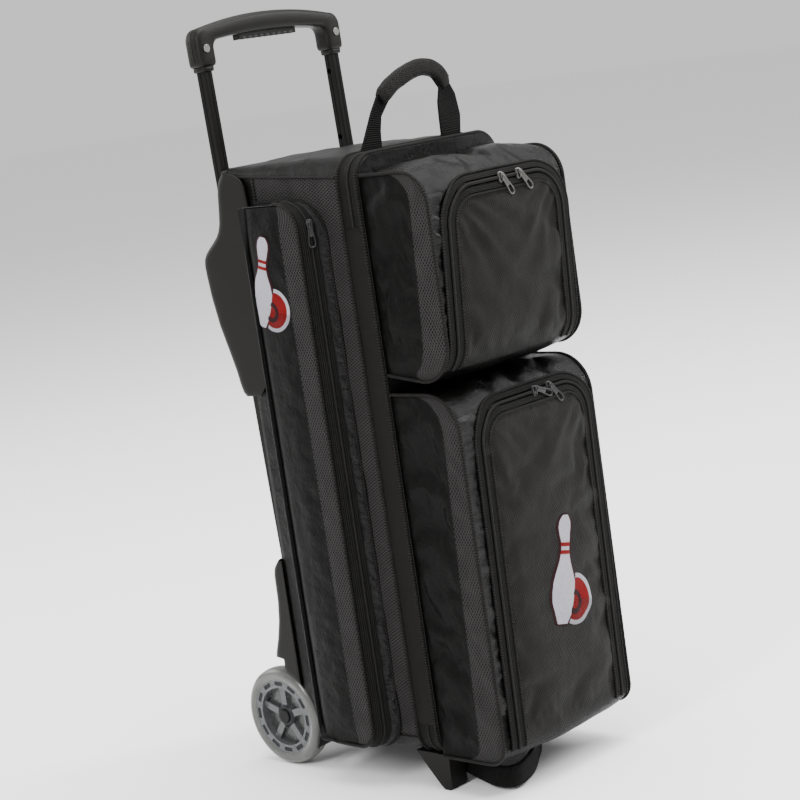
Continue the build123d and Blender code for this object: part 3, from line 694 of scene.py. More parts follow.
def make_body():
    ys = np.linspace(BODY_WELT_Y, REAR, 37)
    rows = []
    for y in ys:
        loop = body_loop(y)
        rows.append([body_point(p, n, y) for p, n in zip(loop, loop_normals(loop))])

    def pick(i, j):
        a, b = rows[i][j], rows[i][(j + 1) % len(rows[i])]
        height, seam = (a.z + b.z) / 2, edge_seam(ys[i], 1, 1).z
        if abs(a.x) > HALF - CORNER and BOTTOM + TOP - seam < height < seam:
            return 0 if ys[i] < BACK_SEAM_Y else 2
        return 1 if a.z > BOTTOM + 40 else 2

    skin = grid("body_skin", rows, [SIDE_DOBBY, TOP_NYLON, BLACK_NYLON], pick, closed=True)
    layer = skin.data.uv_layers["UVMap"]
    for face in skin.data.polygons:
        for corner in face.loop_indices:
            x, y, z = skin.data.vertices[skin.data.loops[corner].vertex_index].co * (1000 / UV_UNIT)
            layer.data[corner].uv = (z if abs(face.normal.x) > 0.5 else x, y)
    thicken(skin, 2.0, LINING)
    finish_piece(skin, *BAG, ["outer_cover"])

    loop = body_loop(BODY_WELT_Y)
    path = [Vector((x, BODY_WELT_Y, z)) for x, z in loop]
    normals = [Vector((n[0], 0, n[1])) for n in loop_normals(loop)]
    finish_piece(strip("body_welt", path, normals, ring(2.3, out=0.8), WELT, True), *BAG)

    # edge seams that run front to back, and the seam beside the moulded shell
    for index, (side, level) in enumerate(((-1, 1), (1, 1), (-1, -1), (1, -1))):
        rear = REAR - (34 if level < 0 else 14)
        run = [edge_seam(y, side, level, 0.5) for y in np.linspace(BODY_WELT_Y + 4, rear, 40)]
        out = Vector((side, 0, level))
        finish_piece(strip(f"edge_welt_{index}", run, out, ring(1.5, flat=0.7), WELT), *BAG)
    for name, side in SIDES:
        high = edge_seam(BACK_SEAM_Y, side, 1).z
        run = [Vector((side * (HALF + 0.9), BACK_SEAM_Y, z)) for z in np.linspace(57, high, 100)]
        finish_piece(strip(f"{name}_back_seam", run, RIGHT * side, ring(1.2, 6, flat=0.6), WELT), *BAG)

    # fabric over the back board, between the two shells
    wall_y, half = node_box("back_wall")[1].y + 0.8, 98
    rows = [[Vector((x, wall_y + 1.6 * folds(x, z, 5.5, 30, 1.2) * (1 - (x / half) ** 2), z))
             for x in np.linspace(-half, half, 40)] for z in np.linspace(140, 600, 60)]
    finish_piece(grid("back_cloth", rows, [BLACK_NYLON], flip=True), *BAG)


# ------------------------------------------------------------------ door seam: hinge band, zip, welts
def rotate_to(points, test):
    """Starts a closed loop at the first point where test becomes true."""
    for index in range(len(points)):
        if test(points[index]) and not test(points[index - 1]):
            return points[index:] + points[:index]
    return points


def on_hinge(pair):
    """True for a point of the door's outline, with its normal, that the hinge band holds."""
    point = pair[0]
    return point.x < -HALF + 1 and BOTTOM + 36 < point.y < HINGE_BAND_TOP


def offset_line(pairs, y, lift=0.0):
    """A line round the door's outline at y, and its outward normals."""
    path = [Vector((p.x + n[0] * lift, y, p.y + n[1] * lift)) for p, n in pairs]
    return path, [Vector((n[0], 0, n[1])) for _, n in pairs]


def make_door_seam():
    loop = dense(rounded_rect(-HALF, HALF, BOTTOM, TOP, [CORNER] * 4, 10))
    pairs = rotate_to(list(zip(loop, loop_normals(loop))), on_hinge)
    hinge = [pair for pair in pairs if on_hinge(pair)]
    zipped = [hinge[-1]] + [pair for pair in pairs if not on_hinge(pair)] + [hinge[0]]

    # hinge band, between the body's welt and the door's
    rows = []
    for p, _ in hinge:
        row = []
        for y in np.linspace(BODY_WELT_Y - 1, DOOR_WELT_Y + 1, 14):
            middle = 1 - ((y - FRONT) / (BODY_WELT_Y - FRONT)) ** 2
            puff = 0.9 * middle + 0.5 * folds(p.y, y, 2.2, 40)
            row.append(Vector((p.x - puff - 0.2, y, p.y)))
        rows.append(row)
    band = grid("hinge_band", rows, [BAND_TWILL])
    modifier(band, "SOLIDIFY", thickness=0.0012, offset=0)
    apply_modifiers(band)
    finish_piece(band, *BAG, blend=("door", (-HALF, FRONT + 9, 400), (-HALF, FRONT - 9, 400)))

    # zip halves
    gap = FRONT - 0.2
    for name, target, welt_y, direction in (("body", BAG, BODY_WELT_Y, 1), ("door", DOOR, DOOR_WELT_Y, -1)):
        half = (abs(welt_y - gap) - 1.5) / 2
        path, outs = offset_line(zipped, gap + direction * (half + 1.4))
        section = tape_section(half, 0.6, 0.5, -0.2, 1.0, -1.4)
        finish_piece(strip(f"{name}_zip_tape", path, outs, section, ZIP_TAPE), *target)
    finish_piece(coil_piece("door_zip_coil", *offset_line(zipped, gap, 0.2)), *BAG)

    # door rim: the welt, the fold of cloth behind it, and the lip of lining inside
    welt = strip("door_welt", *offset_line(pairs, DOOR_WELT_Y, 0.6), ring(2.4), WELT, True)
    finish_piece(welt, *DOOR, ["door_gusset"])
    rim_stations = ((0.6, DOOR_WELT_Y + 2), (0.0, DOOR_WELT_Y), (0.6, DOOR_FACE - 0.5), (3.0, DOOR_FACE - 2))
    rows = [offset_line(pairs, y, -inset)[0] for inset, y in rim_stations]
    rim = grid("door_rim", rows, [BLACK_NYLON], closed=True, flip=True)
    thicken(rim, 1.0)
    finish_piece(rim, *DOOR)
    section = [(-6, 0), (-2, 0.5), (3, 0.2), (6.5, -0.5), (6.5, -1.6), (-6, -1.2)]
    finish_piece(strip("door_inner_lip", *offset_line(pairs, FRONT - 4, -3.6), section, LINING, True), *DOOR)

    # door face, seen above, between and beside the pouches
    rows = []
    for z in np.linspace(BOTTOM + 1, TOP - 1, 90):
        wide = HALF - 1 - corner_cut(CORNER, min(z - BOTTOM, TOP - z))
        row = []
        for x in np.linspace(-wide, wide, 40):
            puff = 2.2 + 1.8 * (1 - (x / wide) ** 2) + 0.8 * folds(x, z, 1.7, 26)
            row.append(Vector((x, DOOR_FACE - puff, z)))
        rows.append(row)
    finish_piece(grid("door_face", rows, [BLACK_NYLON]), *DOOR)


# ------------------------------------------------------------------ pouches on the door
FLAP_TAPE = 8.0                # width of the tape on each side of a flap's zip
SIDE_CLOTH_COLUMNS = 25        # columns of a pouch's side before its figured strip


class Pouch:
    """A pouch whose front, top and bottom are one band of cloth, between two flat welted sides.

    x runs across it and s down its profile, from the door over the top to the door again. tuck is how far
    the base rises towards the door, legs the x of the flap's top and base corners, zip_z the height of the
    flap's top, and fan the depth of the folds that fan out from its corners."""

    def __init__(self, name, tuck, top_radius, base_radius, legs, zip_z, corner, fan):
        low, high = node_box(f"{name}_pouch")
        hinge_z = node_box(f"{name}_flap")[0].z
        self.name, self.legs, self.corner, self.fan = name, legs, corner, fan
        self.half = (high.x - low.x) / 2
        self.low, self.high, self.face = low.z, high.z, low.y
        self.back = DOOR_FACE - 1.0
        profile = [Vector((self.back, self.high, 0))]
        for z, radius, start in (
            (self.high - top_radius, top_radius, 90), (self.low + base_radius, base_radius, 180),
        ):
            for k in range(13):
                turn = math.radians(start + 90 * k / 12)
                y = self.face + radius * (1 + math.cos(turn))
                profile.append(Vector((y, z + radius * math.sin(turn), 0)))
        profile.append(Vector((self.back, self.low + tuck, 0)))
        self.line = [p.to_2d() for p in resample(profile, 1.0)]
        self.marks = marks_along(self.line)
        self.length = self.marks[-1]
        self.flap_top = float(next(m for m, p in zip(self.marks, self.line) if p[1] <= zip_z))
        from_hinge = [abs(p[1] - hinge_z) + abs(p[0] - self.face) for p in self.line]
        self.flap_base = float(self.marks[from_hinge.index(min(from_hinge))])

    def at(self, s):
        """(y, z) at a distance down the profile, and its outward normal."""
        (y, z), behind, ahead = at_marks(self.line, self.marks, [s, max(s - 2, 0), min(s + 2, self.length)])
        run = (ahead - behind).normalized()
        return y, z, Vector((0, run[1], -run[0]))

    def leg(self, s, side):
        """x of the flap's edge at s; its upper corners are round."""
        share = min(max((s - self.flap_top) / (self.flap_base - self.flap_top), 0), 1)
        top_x, base_x = self.legs[side]
        x = top_x + (base_x - top_x) * share
        return x - math.copysign(corner_cut(self.corner, s - self.flap_top), x)

    def surface(self, x, s, lift=0.0, wrinkle=1.0):
        """The cloth's point at (x, s), and its outward normal."""
        y, z, normal = self.at(s)
        ends = min(ease(s / 30), ease((self.length - s) / 30))
        swell = 5.0 * max(0.0, 1 - (x / self.half) ** 2) ** 0.75 * ends
        edge = ease((self.half - abs(x)) / 10) * ends
        ripple = 1.7 * folds(x, s, 1.3 if self.name == "upper" else 6.1, 26, 0.35, 2.5)
        return Vector((x, y, z)) + normal * (swell + lift + ripple * edge * wrinkle), normal

    def fan_fold(self, x, s):
        """Ridges that fan out from the flap's two upper corners, where the zip holds the cloth."""
        total = 0.0
        for corner_x, sign, seed in ((self.legs[0][0], 1, 0.0), (self.legs[1][0], -1, 5.0)):
            dx, ds = (x - corner_x) * sign + 12, s - self.flap_top + 12
            reach = math.hypot(dx, ds)
            angle = math.degrees(math.atan2(ds, dx))
            fade = ease((reach - 30) / 35) * math.exp(-((reach / 165) ** 2)) * ease((angle - 12) / 14)
            fade *= ease((86 - angle) / 12)
            bend = 6 * noise.noise(Vector((reach / 60, seed, 1.7)))
            wave = math.sin(math.radians((angle + bend) * 360 / 15 + seed * 40))
            total += fade * (0.5 + wave) * (0.7 + 0.6 * noise.noise(Vector((angle / 9, seed, 0.3))))
        return self.fan * total

    def zip_path(self, shift=0.0, lift=0.6):
        """The flap's zip, from the lower left up, across and down. shift is outwards."""
        top, turn_in = self.flap_top, self.corner
        flat = [(self.leg(s, 0), s) for s in np.arange(self.flap_base, top + turn_in, -6)]
        x0, x1 = self.leg(top + turn_in, 0) + turn_in, self.leg(top + turn_in, 1) - turn_in
        arc = [math.pi / 2 * k / 14 for k in range(15)]
        flat += [(x0 - turn_in * math.cos(t), top + turn_in * (1 - math.sin(t))) for t in arc]
        flat += [(x, top) for x in np.linspace(x0, x1, 24)[1:-1]]
        flat += [(x1 + turn_in * math.sin(t), top + turn_in * (1 - math.cos(t))) for t in arc]
        flat += [(self.leg(s, 1), s) for s in np.arange(top + turn_in + 6, self.flap_base, 6)]
        flat = [Vector(p) for p in flat + [(self.legs[1][1], self.flap_base)]]
        flat = [p + Vector((r[1], -r[0])) * shift for p, r in zip(flat, tangents(flat))]
        return tuple(zip(*[self.surface(x, s, lift, 0.0) for x, s in flat]))

    def side_profile(self, z, inset=0.0):
        """y of the side's front edge, of its back edge, and of the figured strip's seam, at a height."""
        high, low = self.high - inset, self.low + inset
        upper = z > (high + low) / 2
        reach = [p[0] for p in self.line if (p[1] >= z - 0.5 if upper else p[1] <= z + 0.5)]
        strip_width = 23 + 15 * (high - z) / (high - low)
        return min(reach), min(max(reach), self.back), min(reach) + strip_width


def pouch_skin(pouch):
    """The band of cloth, with a hole where the flap is."""
    top, base, half = pouch.flap_top, pouch.flap_base, pouch.half
    first, inside = max(6, round(top / 5)) - 1, max(8, round((base - top) / 3)) - 1
    last = first + inside
    lines = stops(0.0, (top - 2.5, first), (base, inside), (pouch.length, 23))
    edge_columns, hole_columns = 6, 33
    rows = []
    for s in lines:
        left, right = pouch.leg(max(s, top), 0) - 2.5, pouch.leg(max(s, top), 1) + 2.5
        row = []
        for x in stops(-half, (left, edge_columns), (right, hole_columns), (half, edge_columns)):
            point, normal = pouch.surface(x, s)
            # the narrow strips beside the zip pucker across their width
            share = 0.0
            if top + 10 < s < base:
                if x < left:
                    share = math.sin(math.pi * (x + half) / (left + half))
                elif x > right:
                    share = math.sin(math.pi * (x - right) / (half - right))
            row.append(point + normal * (share * (2.6 * folds(s, x, 12.5, 6.5, 1.3, 2.0) - 0.6)))
        rows.append(row)

    def cloth(i, _):
        if lines[i] <= top:
            return 0
        return 1 if lines[i] < base - 46 else 2

    def in_hole(i, j):
        return first <= i < last and edge_columns <= j < edge_columns + hole_columns

    cloths = [BLACK_NYLON, SHINY_NYLON, DARK_NYLON]
    skin = grid(f"{pouch.name}_pouch_skin", rows, cloths, cloth, in_hole, flip=True)
    pin(skin, rows, lambda i, j: 1.0 if lines[i] > top - 4 or edge_depth(rows, i, j) == 0 else 0.0)
    return skin


def pouch_flap(pouch):
    top, base = pouch.flap_top, pouch.flap_base
    rows = []
    for s in np.linspace(top + 2.5, base + 1, max(10, round((base - top) / 5))):
        edge_s = max(s, top + 3)
        left, right = pouch.leg(edge_s, 0) + 2.5, pouch.leg(edge_s, 1) - 2.5
        row = []
        for x in np.linspace(left, right, 60):
            point, normal = pouch.surface(x, s, 0.6 if s < base - 4 else 0.2)
            hold = ease((x - left) / 16) * ease((right - x) / 16) * ease((s - top) / 16)
            row.append(point + normal * (pouch.fan_fold(x, s) * hold * ease((base - s) / 20)))
        rows.append(row)
    flap = grid(f"{pouch.name}_flap_cloth", rows, [FLAP_DOBBY], flip=True)
    pin(flap, rows, lambda i, j: {0: 1.0, 1: 1.0, 2: 0.4}.get(edge_depth(rows, i, j), 0.0))
    return flap


# upright creases on a pouch's side: distance from the door, width, depth and length down from the top
SIDE_CREASES = ((9, 4.5, 3.6, 46), (24, 5.5, 2.4, 62), (43, 6.5, 2.2, 36), (66, 5.0, 1.5, 30))


def pouch_side(pouch, side_name, side):
    """A side: nylon with a figured strip towards the front corner."""
    inset = 0.4
    high, low = pouch.high - inset, pouch.low + inset
    rows = []
    for z in np.linspace(high, low, max(24, round((high - low) / 6))):
        y_front, y_back, seam = pouch.side_profile(z, inset)
        row = []
        for y in stops(y_back, (min(seam, y_back - 4), SIDE_CLOTH_COLUMNS), (y_front, 7)):
            across = math.sin(math.pi * min(max((y_back - y) / max(y_back - y_front, 1), 0), 1))
            tall = min(ease((high - z) / 30), ease((z - low) / 30))
            puff = (2.2 + 1.4 * folds(z, y, 2.9 + side, 24, 0.2, 2.4)) * across * tall
            for back, wide, deep, length in SIDE_CREASES:
                near = math.exp(-(((y - pouch.back + back) / wide) ** 2))
                puff += deep * near * ease((high - z) / 12) * math.exp(-(high - z) / length) * across ** 0.4
            row.append(Vector((side * (pouch.half + puff), y, z)))
        rows.append(row)
    panel = grid(f"{pouch.name}_{side_name}_side", rows, [DARK_NYLON, SIDE_DOBBY],
                 lambda i, j: 1 if j >= SIDE_CLOTH_COLUMNS else 0, flip=side < 0)

    def held(i, j):
        if edge_depth(rows, i, j) == 0:
            return 1.0
        return 0.8 if j == SIDE_CLOTH_COLUMNS else 0.0

    pin(panel, rows, held)
    path, outs = [], []
    for s in np.arange(0, pouch.length + 1, 4):
        y, z, normal = pouch.at(min(s, pouch.length))
        path.append(Vector((side * (pouch.half + 0.4), y, z)) + normal * 0.4)
        outs.append(normal + RIGHT * side)
    finish_piece(strip(f"{pouch.name}_{side_name}_welt", path, outs, ring(2.2), WELT), *DOOR)
    return panel


def finish_pouch(pouch, skin, flap, sides):
    name = pouch.name
    flap_body = f"{name}_flap_panel"
    for piece, depth in ((skin, 1.4), (flap, 1.4), *((side, 1.2) for side in sides)):
        soften(piece)
        thicken(piece, depth, LINING)
    finish_piece(skin, *DOOR, [f"{name}_pouch"])
    finish_piece(flap, flap_body, "panel_fabric", [f"{name}_flap"])
    for panel in sides:
        finish_piece(panel, *DOOR)
    rows = [[Vector((x, pouch.back - 1.6 + 0.7 * folds(x, z, 7.1, 40), z))
             for x in np.linspace(0.8 - pouch.half, pouch.half - 0.8, 20)]
            for z in np.linspace(pouch.line[0][1] - 0.8, pouch.line[-1][1] + 0.8, 24)]
    finish_piece(grid(f"{name}_pouch_back", rows, [LINING], flip=True), *DOOR)

    # zip, its tapes and welts, and the stitches inside the flap
    for label, body, direction in (("pouch", "door", 1), ("flap", flap_body, -1)):
        for part, shift, section, material in (
            ("tape", FLAP_TAPE / 2 + 2.3, tape_section(FLAP_TAPE / 2), ZIP_TAPE),
            ("zip_welt", FLAP_TAPE + 3.4, ring(1.7), WELT),
        ):
            path = pouch.zip_path(direction * shift, 1.2)
            finish_piece(strip(f"{name}_{label}_{part}", *path, section, material), body, "cover_fabric")
    finish_piece(coil_piece(f"{name}_zip_coil", *pouch.zip_path(0, 1.6)), flap_body, "cover_fabric")
    rows = stitch_row(f"{name}_flap_stitches", [pouch.zip_path(-(FLAP_TAPE + 7.5), 1.4)])
    finish_piece(rows, flap_body, "panel_fabric")

    # stitches beside the figured strip of each side
    lines = []
    for panel, (_, side) in zip(sides, SIDES):
        finder, path = surface_finder(panel), []
        for z in np.linspace(pouch.high - 6, pouch.low + 8, 60):
            seam = pouch.side_profile(z)[2]
            if seam < pouch.back - 8:
                path.append(finder(Vector((side * pouch.half, seam, z)), RIGHT * side, 0.2))
        lines.append((path, RIGHT * side))
    finish_piece(stitch_row(f"{name}_side_stitches", lines), *DOOR)


# ------------------------------------------------------------------ side pocket
POCKET_TOP_RADIUS, POCKET_BASE_RADIUS = 34, 24
STRIP_WIDTH = 26.0             # the figured strip beside the pocket's zip
STRIP_COLUMNS = 8


class Pocket:
    """The tall pocket on the left: a flat zipped panel, and a gusset between it and the body."""

    def __init__(self):
        low, high = node_box("side_pocket_panel")
        seam_front = node_box("side_pocket_gusset")[0].y
        self.x = low.x - MID + 1.2
        self.front, self.rear = low.y, high.y
        self.low, self.high = low.z, high.z
        radii = POCKET_BASE_RADIUS, POCKET_TOP_RADIUS
        self.outer = self.loop(self.front, self.rear, self.low, self.high, *radii)
        self.inner = self.loop(seam_front, self.rear + 1, self.low - 6, self.high + 1, 34, 46)

    @staticmethod
    def loop(y0, y1, z0, z1, base_radius, top_radius):
        """(y, z) points: up the front, back along the top, down the rear, forward along the bottom."""
        return dense(rounded_rect(y0, y1, z0, z1, (base_radius, top_radius, 4, 4), 9), 220, 30)

    def slope(self, share, lift=0.0):
        """Points and outward normals on the gusset: share is 0 at the body and 1 at the panel's edge."""
        seam_x = -HALF - 0.4
        panel_x = self.x + 0.8
        ends = [(Vector((seam_x, *a)), Vector((panel_x, *b))) for a, b in zip(self.inner, self.outer)]
        path = [a.lerp(b, share) for a, b in ends]
        outs = []
        for (a, b), run, flat in zip(ends, tangents(path, True), loop_normals(self.outer)):
            out = unit(run.cross(b - a))
            outs.append(out if out.dot(Vector((-1, *flat))) > 0 else -out)
        return [p + n * lift for p, n in zip(path, outs)], outs

    def open_slope(self, share, lift=0.0):
        """The same without the rear side, where the panel is sewn on: from the lower rear corner round."""
        found = list(zip(*self.slope(share, lift), self.outer))
        found = [item for item in rotate_to(found, self.is_open) if self.is_open(item)]
        return [item[0] for item in found], [item[1] for item in found]

    def is_open(self, item):
        return item[2][0] < self.rear - 6


def pocket_gusset(pocket):
    """The puckered cloth round the pocket."""
    marks = marks_along(pocket.inner)
    rows = []
    for share in (0, 0.035, 0.07, 0.11, 0.15, 0.19, 0.23, 0.27, 0.31, 0.36, 0.5, 0.75, 1.0):
        loose = math.sin(math.pi * min(share / 0.36, 1.0)) ** 0.7
        row = []
        for point, out, mark in zip(*pocket.slope(share), marks):
            ruck = 2.7 * folds(mark, share * 33, 6.6, 5.5, 1.35, 2.6) + 0.9
            row.append(point + out * (loose * ruck * (1.0 if point.y < 30 else 0.4)))
        rows.append(row)
    gusset = grid("pocket_gusset", rows, [SHINY_NYLON], closed=True)
    soften(gusset)
    thicken(gusset, 1.2, LINING)
    finish_piece(gusset, *BAG, ["side_pocket_gusset"])


def make_pocket_panel(pocket):
    """The outer panel: nylon, with a figured strip beside the zip."""
    rows = []
    for z in np.linspace(pocket.high - 2, pocket.low + 2, 130):
        top_cut, low_cut = pocket.high - z, z - pocket.low
        inset = max(corner_cut(POCKET_TOP_RADIUS, top_cut), corner_cut(POCKET_BASE_RADIUS, low_cut))
        y0 = pocket.front + 0.6 + inset
        seam = max(y0 + 4, pocket.front + STRIP_WIDTH)
        row = []
        for y in stops(y0, (seam, STRIP_COLUMNS), (pocket.rear - 0.5, 14)):
            share = (y - y0) / (pocket.rear - y0)
            across = math.sin(math.pi * min(max(share, 0), 1)) ** 0.8
            tall = min(ease(top_cut / 40), ease(low_cut / 40))
            puff = 3.4 * across * tall + 0.5 * folds(z, y, 4.4, 34, 0.15, 4.0) * across ** 2
            puff -= 6.5 * ease((y - pocket.rear + 17) / 17)
            row.append(Vector((pocket.x - puff, y, z)))
        rows.append(row)
    panel = grid("pocket_panel", rows, [SIDE_DOBBY, DARK_NYLON], lambda i, j: 0 if j < STRIP_COLUMNS else 1)

    def held(i, j):
        if i in (0, len(rows) - 1) or j < 3 or j > len(rows[0]) - 8:
            return 1.0
        return 0.7 if j == STRIP_COLUMNS else 0.0

    pin(panel, rows, held)
    return panel


def finish_pocket(pocket, panel):
    soften(panel)
    thicken(panel, 1.2, LINING)
    finish_piece(panel, *SIDE_PANEL, ["side_pocket_panel"])
    for name, target, share, half in (("panel", SIDE_PANEL, 0.765, 6.3), ("gusset", BAG, 0.41, 3.6)):
        section = tape_section(half, deep=-1.5)
        finish_piece(strip(f"pocket_{name}_tape", *pocket.open_slope(share, 0.9), section, ZIP_TAPE), *target)
    finish_piece(coil_piece("pocket_zip_coil", *pocket.open_slope(0.55, 1.3), radius=1.8), *SIDE_PANEL)
    path, outs = pocket.open_slope(0.99, 1.2)
    welt = strip("pocket_panel_welt", path, [out + LEFT for out in outs], ring(2.1), WELT)
    finish_piece(welt, *SIDE_PANEL)
    path, outs = pocket.slope(0.0, 0.6)
    seam = strip("pocket_base_seam", path, [out + LEFT * 0.6 for out in outs], ring(1.6), WELT, True)
    finish_piece(seam, *BAG)
    heights = np.linspace(pocket.low + 3, pocket.high - 3, 110)
    rear = [Vector((pocket.x + 5.4, pocket.rear + 0.2, z)) for z in heights]
    finish_piece(strip("pocket_rear_welt", rear, LEFT - FORWARD, ring(1.9), WELT), *SIDE_PANEL)
    finder = surface_finder(panel)
    path = [finder(Vector((0, pocket.front + STRIP_WIDTH, z)), LEFT, 0.4)
            for z in np.linspace(pocket.low + 24, pocket.high - 24, 120)]
    finish_piece(stitch_row("pocket_panel_stitches", [(path, LEFT)]), *SIDE_PANEL)


# ------------------------------------------------------------------ emblems: a pin and a ball
# a bowling pin's outline: share of its height, share of its greatest half-width
PIN_OUTLINE = (
    (0.0, 0.36), (0.02, 0.42), (0.10, 0.62), (0.20, 0.82), (0.30, 0.92), (0.38, 0.90), (0.48, 0.70),
    (0.58, 0.46), (0.66, 0.34), (0.72, 0.33), (0.80, 0.43), (0.87, 0.49), (0.93, 0.46), (0.98, 0.28),
    (1.0, 0.05),
)
PIN_TILT = math.radians(-14)


def make_emblem(name, panel, body, centre, tall, axis, across):
    """An embroidered pin leaning on a ball, laid on a cloth panel. across is the emblem's rightward axis."""
    finder = surface_finder(panel)
    facing = across.cross(UP).dot(axis)

    def lay(u, v, lift):
        a = u * math.cos(PIN_TILT) - v * math.sin(PIN_TILT)
        b = u * math.sin(PIN_TILT) + v * math.cos(PIN_TILT)
        return finder(centre + across * a + UP * b, axis, lift)

    def blade(label, material, low, high, grow, lift, count):
        """A stretch of the pin's outline, as shares of its height, made wider by grow."""
        rows = []
        for share in np.linspace(low, high, count):
            wide = tall * 0.19 * float(np.interp(share, *zip(*PIN_OUTLINE))) + grow
            rows.append([lay(u * wide, (share - 0.5) * tall, lift * (1 - 0.75 * abs(u) ** 6))
                         for u in np.linspace(-1, 1, 13)])
        finish_piece(grid(f"{name}_{label}", rows, [material], flip=facing < 0), body, "panel_fabric")

    def disc(label, material, u0, v0, radius, hole, lift):
        rows = []
        for r in np.linspace(hole, radius, 8):
            drop = lift * (1 - 0.7 * ((r - hole) / (radius - hole)) ** 6)
            rows.append([lay(u0 + r * math.cos(t), v0 + r * math.sin(t), drop)
                         for t in np.linspace(0, 2 * math.pi, 49)[:-1]])
        piece = grid(f"{name}_{label}", rows, [material], closed=True, flip=facing > 0)
        finish_piece(piece, body, "panel_fabric")

    ball = tall * 0.2
    u0, v0 = tall * 0.19, -tall * 0.27
    disc("ball_rim", WHITE_THREAD, u0, v0, ball * 1.16, 0.3, 0.5)
    disc("ball", RED_THREAD, u0, v0, ball, 0.3, 0.9)
    disc("ball_shade", WINE_THREAD, u0 - ball * 0.16, v0 - ball * 0.12, ball * 0.6, ball * 0.32, 1.15)
    blade("pin_edge", WINE_THREAD, 0.0, 1.0, tall * 0.022, 0.9, 40)
    blade("pin", WHITE_THREAD, 0.012, 0.988, 0.0, 1.5, 60)
    for index, share in enumerate((0.655, 0.725)):
        blade(f"stripe_{index}", RED_THREAD, share - 0.017, share + 0.017, 0.3, 1.9, 6)


# ------------------------------------------------------------------ moulded shells behind the bag
SHELL_COLUMNS = (118.4, 117.2, 101.8, 100.6, 92.0, 89.4, 88.2, 70.0, 45.0, 22.0)
TUBE_GROOVE = (101, 118)       # x of the grooves that the tubes stand in, on both sides


def at_height(table, z):
    """y from a table of (z, y) that starts at the top."""
    return float(np.interp(z, [row[0] for row in table[::-1]], [row[1] for row in table[::-1]]))


def shell_piece(name, node, zs, profile, front_edge, wide, round_off, limit_y):
    """A moulded shell: rows at each z run round from one wing's front edge, across the back, to the other.
    No point (x, z) stands further back than limit_y."""
    rows = []
    for z in zs:
        y_back, y_front = at_height(profile, z), at_height(front_edge, z)
        radius = min(round_off, max((y_back - y_front) * 0.45, 0.6))
        half = [Vector((wide, y, z)) for y in np.linspace(y_front, y_back - radius, 9)]
        for k in range(1, 9):
            turn = math.radians(90 * k / 8)
            y = y_back - radius * (1 - math.sin(turn))
            half.append(Vector((wide - radius * (1 - math.cos(turn)), y, z)))
        limit = wide - radius - 0.5
        for x in SHELL_COLUMNS:
            half.append(Vector((min(x, limit), y_back, z)))
            limit = half[-1].x - 0.5
        for p in half:
            p.y = min(p.y, limit_y(p.x, z))
        rows.append([Vector((-p.x, p.y, p.z)) for p in half] + [Vector((0, y_back, z))] + half[::-1])
    piece = grid(name, rows, [SHELL], flip=True)
    thicken(piece, 2.6)
    bevel(piece, 0.9, 2, 35)
    finish_piece(piece, "bag", "shell_plastic", [node])


def make_shells():
    tube_low = node_box("outer_tubes")[0]

    def tube_groove(x, z):
        if TUBE_GROOVE[0] < x < TUBE_GROOVE[1] and z > 664.2:
            return tube_low.y + (z - tube_low.z) * math.tan(HANDLE_LEAN) - 1.6
        return math.inf

    def wheel_arch(x, z):
        if x <= 89 or z > 146:
            return math.inf
        clear = WHEEL_RADIUS + 5.5
        rise = abs(z - WHEEL_CENTRE.z)
        return min(133.0, WHEEL_CENTRE.y - math.sqrt(max(clear ** 2 - rise ** 2, 0.0)))

    profile = (
        (758, 104), (755, 110), (750, 116), (742, 120.5), (730, 123), (712, 125.5), (697, 128), (688, 131.5),
        (680, 137), (672, 146), (665, 155), (659, 161.5), (653, 165), (646, 166.2), (636, 165.8), (609, 163),
        (572, 156), (540, 146), (515, 138.5), (498, 135), (489, 132), (484, 127),
    )
    front_edge = ((758, 99), (754, 84), (747, 73), (738, 68), (715, 66), (560, 68), (500, 81), (484, 94))
    zs = stops(758, (700, 15)) + stops(696, (665.5, 13)) + [664.6, 663.8]
    zs += stops(661, (640, 8)) + stops(633, (484, 29))
    shell_piece("upper_shell", "upper_back_shell", zs, profile, front_edge, 126.0, 13.0, tube_groove)

    # a raised line on each wing, where the shoulder turns into the side
    crease = ((131, 658), (126, 664), (117, 679), (110, 707), (98, 735), (84, 749))
    for name, side in SIDES:
        line = resample([Vector((side * 126.1, y, z)) for y, z in crease], 2.5)
        piece = strip(f"{name}_shell_line", line, RIGHT * side, ring(1.7, flat=0.55), SHELL)
        finish_piece(piece, "bag", "shell_plastic")

    profile = (
        (273, 114), (270, 118.5), (266, 123), (261, 128), (252, 130), (220, 131), (193, 135), (168, 142),
        (150, 149), (128, 161), (108, 171), (88, 175.5), (64, 177.5), (46, 175), (36, 169), (31, 160),
    )
    front_edge = ((273, 108.5), (45, 108.5), (31, 113))
    zs = stops(273, (252, 8)) + stops(246, (152, 17)) + [147, 145.6]
    zs += stops(142, (45, 33)) + stops(42, (31, 4))
    shell_piece("lower_shell", "lower_back_shell", zs, profile, front_edge, 123.0, 9.0, wheel_arch)

    # moulded ribs across both shells
    ribs = ((628, 165.4, 96), (600, 162.2, 96), (572, 156.6, 96), (212, 132.2, 100), (188, 136.4, 100),
            (164, 143.6, 100))
    for index, (z, y, wide) in enumerate(ribs):
        line = [Vector((x, y, z)) for x in np.linspace(-wide, wide, 60)]
        rib = strip(f"shell_rib_{index}", line, Vector((0, 1, 0.1)), ring(1.8, out=-0.2, flat=0.7), SHELL)
        finish_piece(rib, "bag", "shell_plastic")


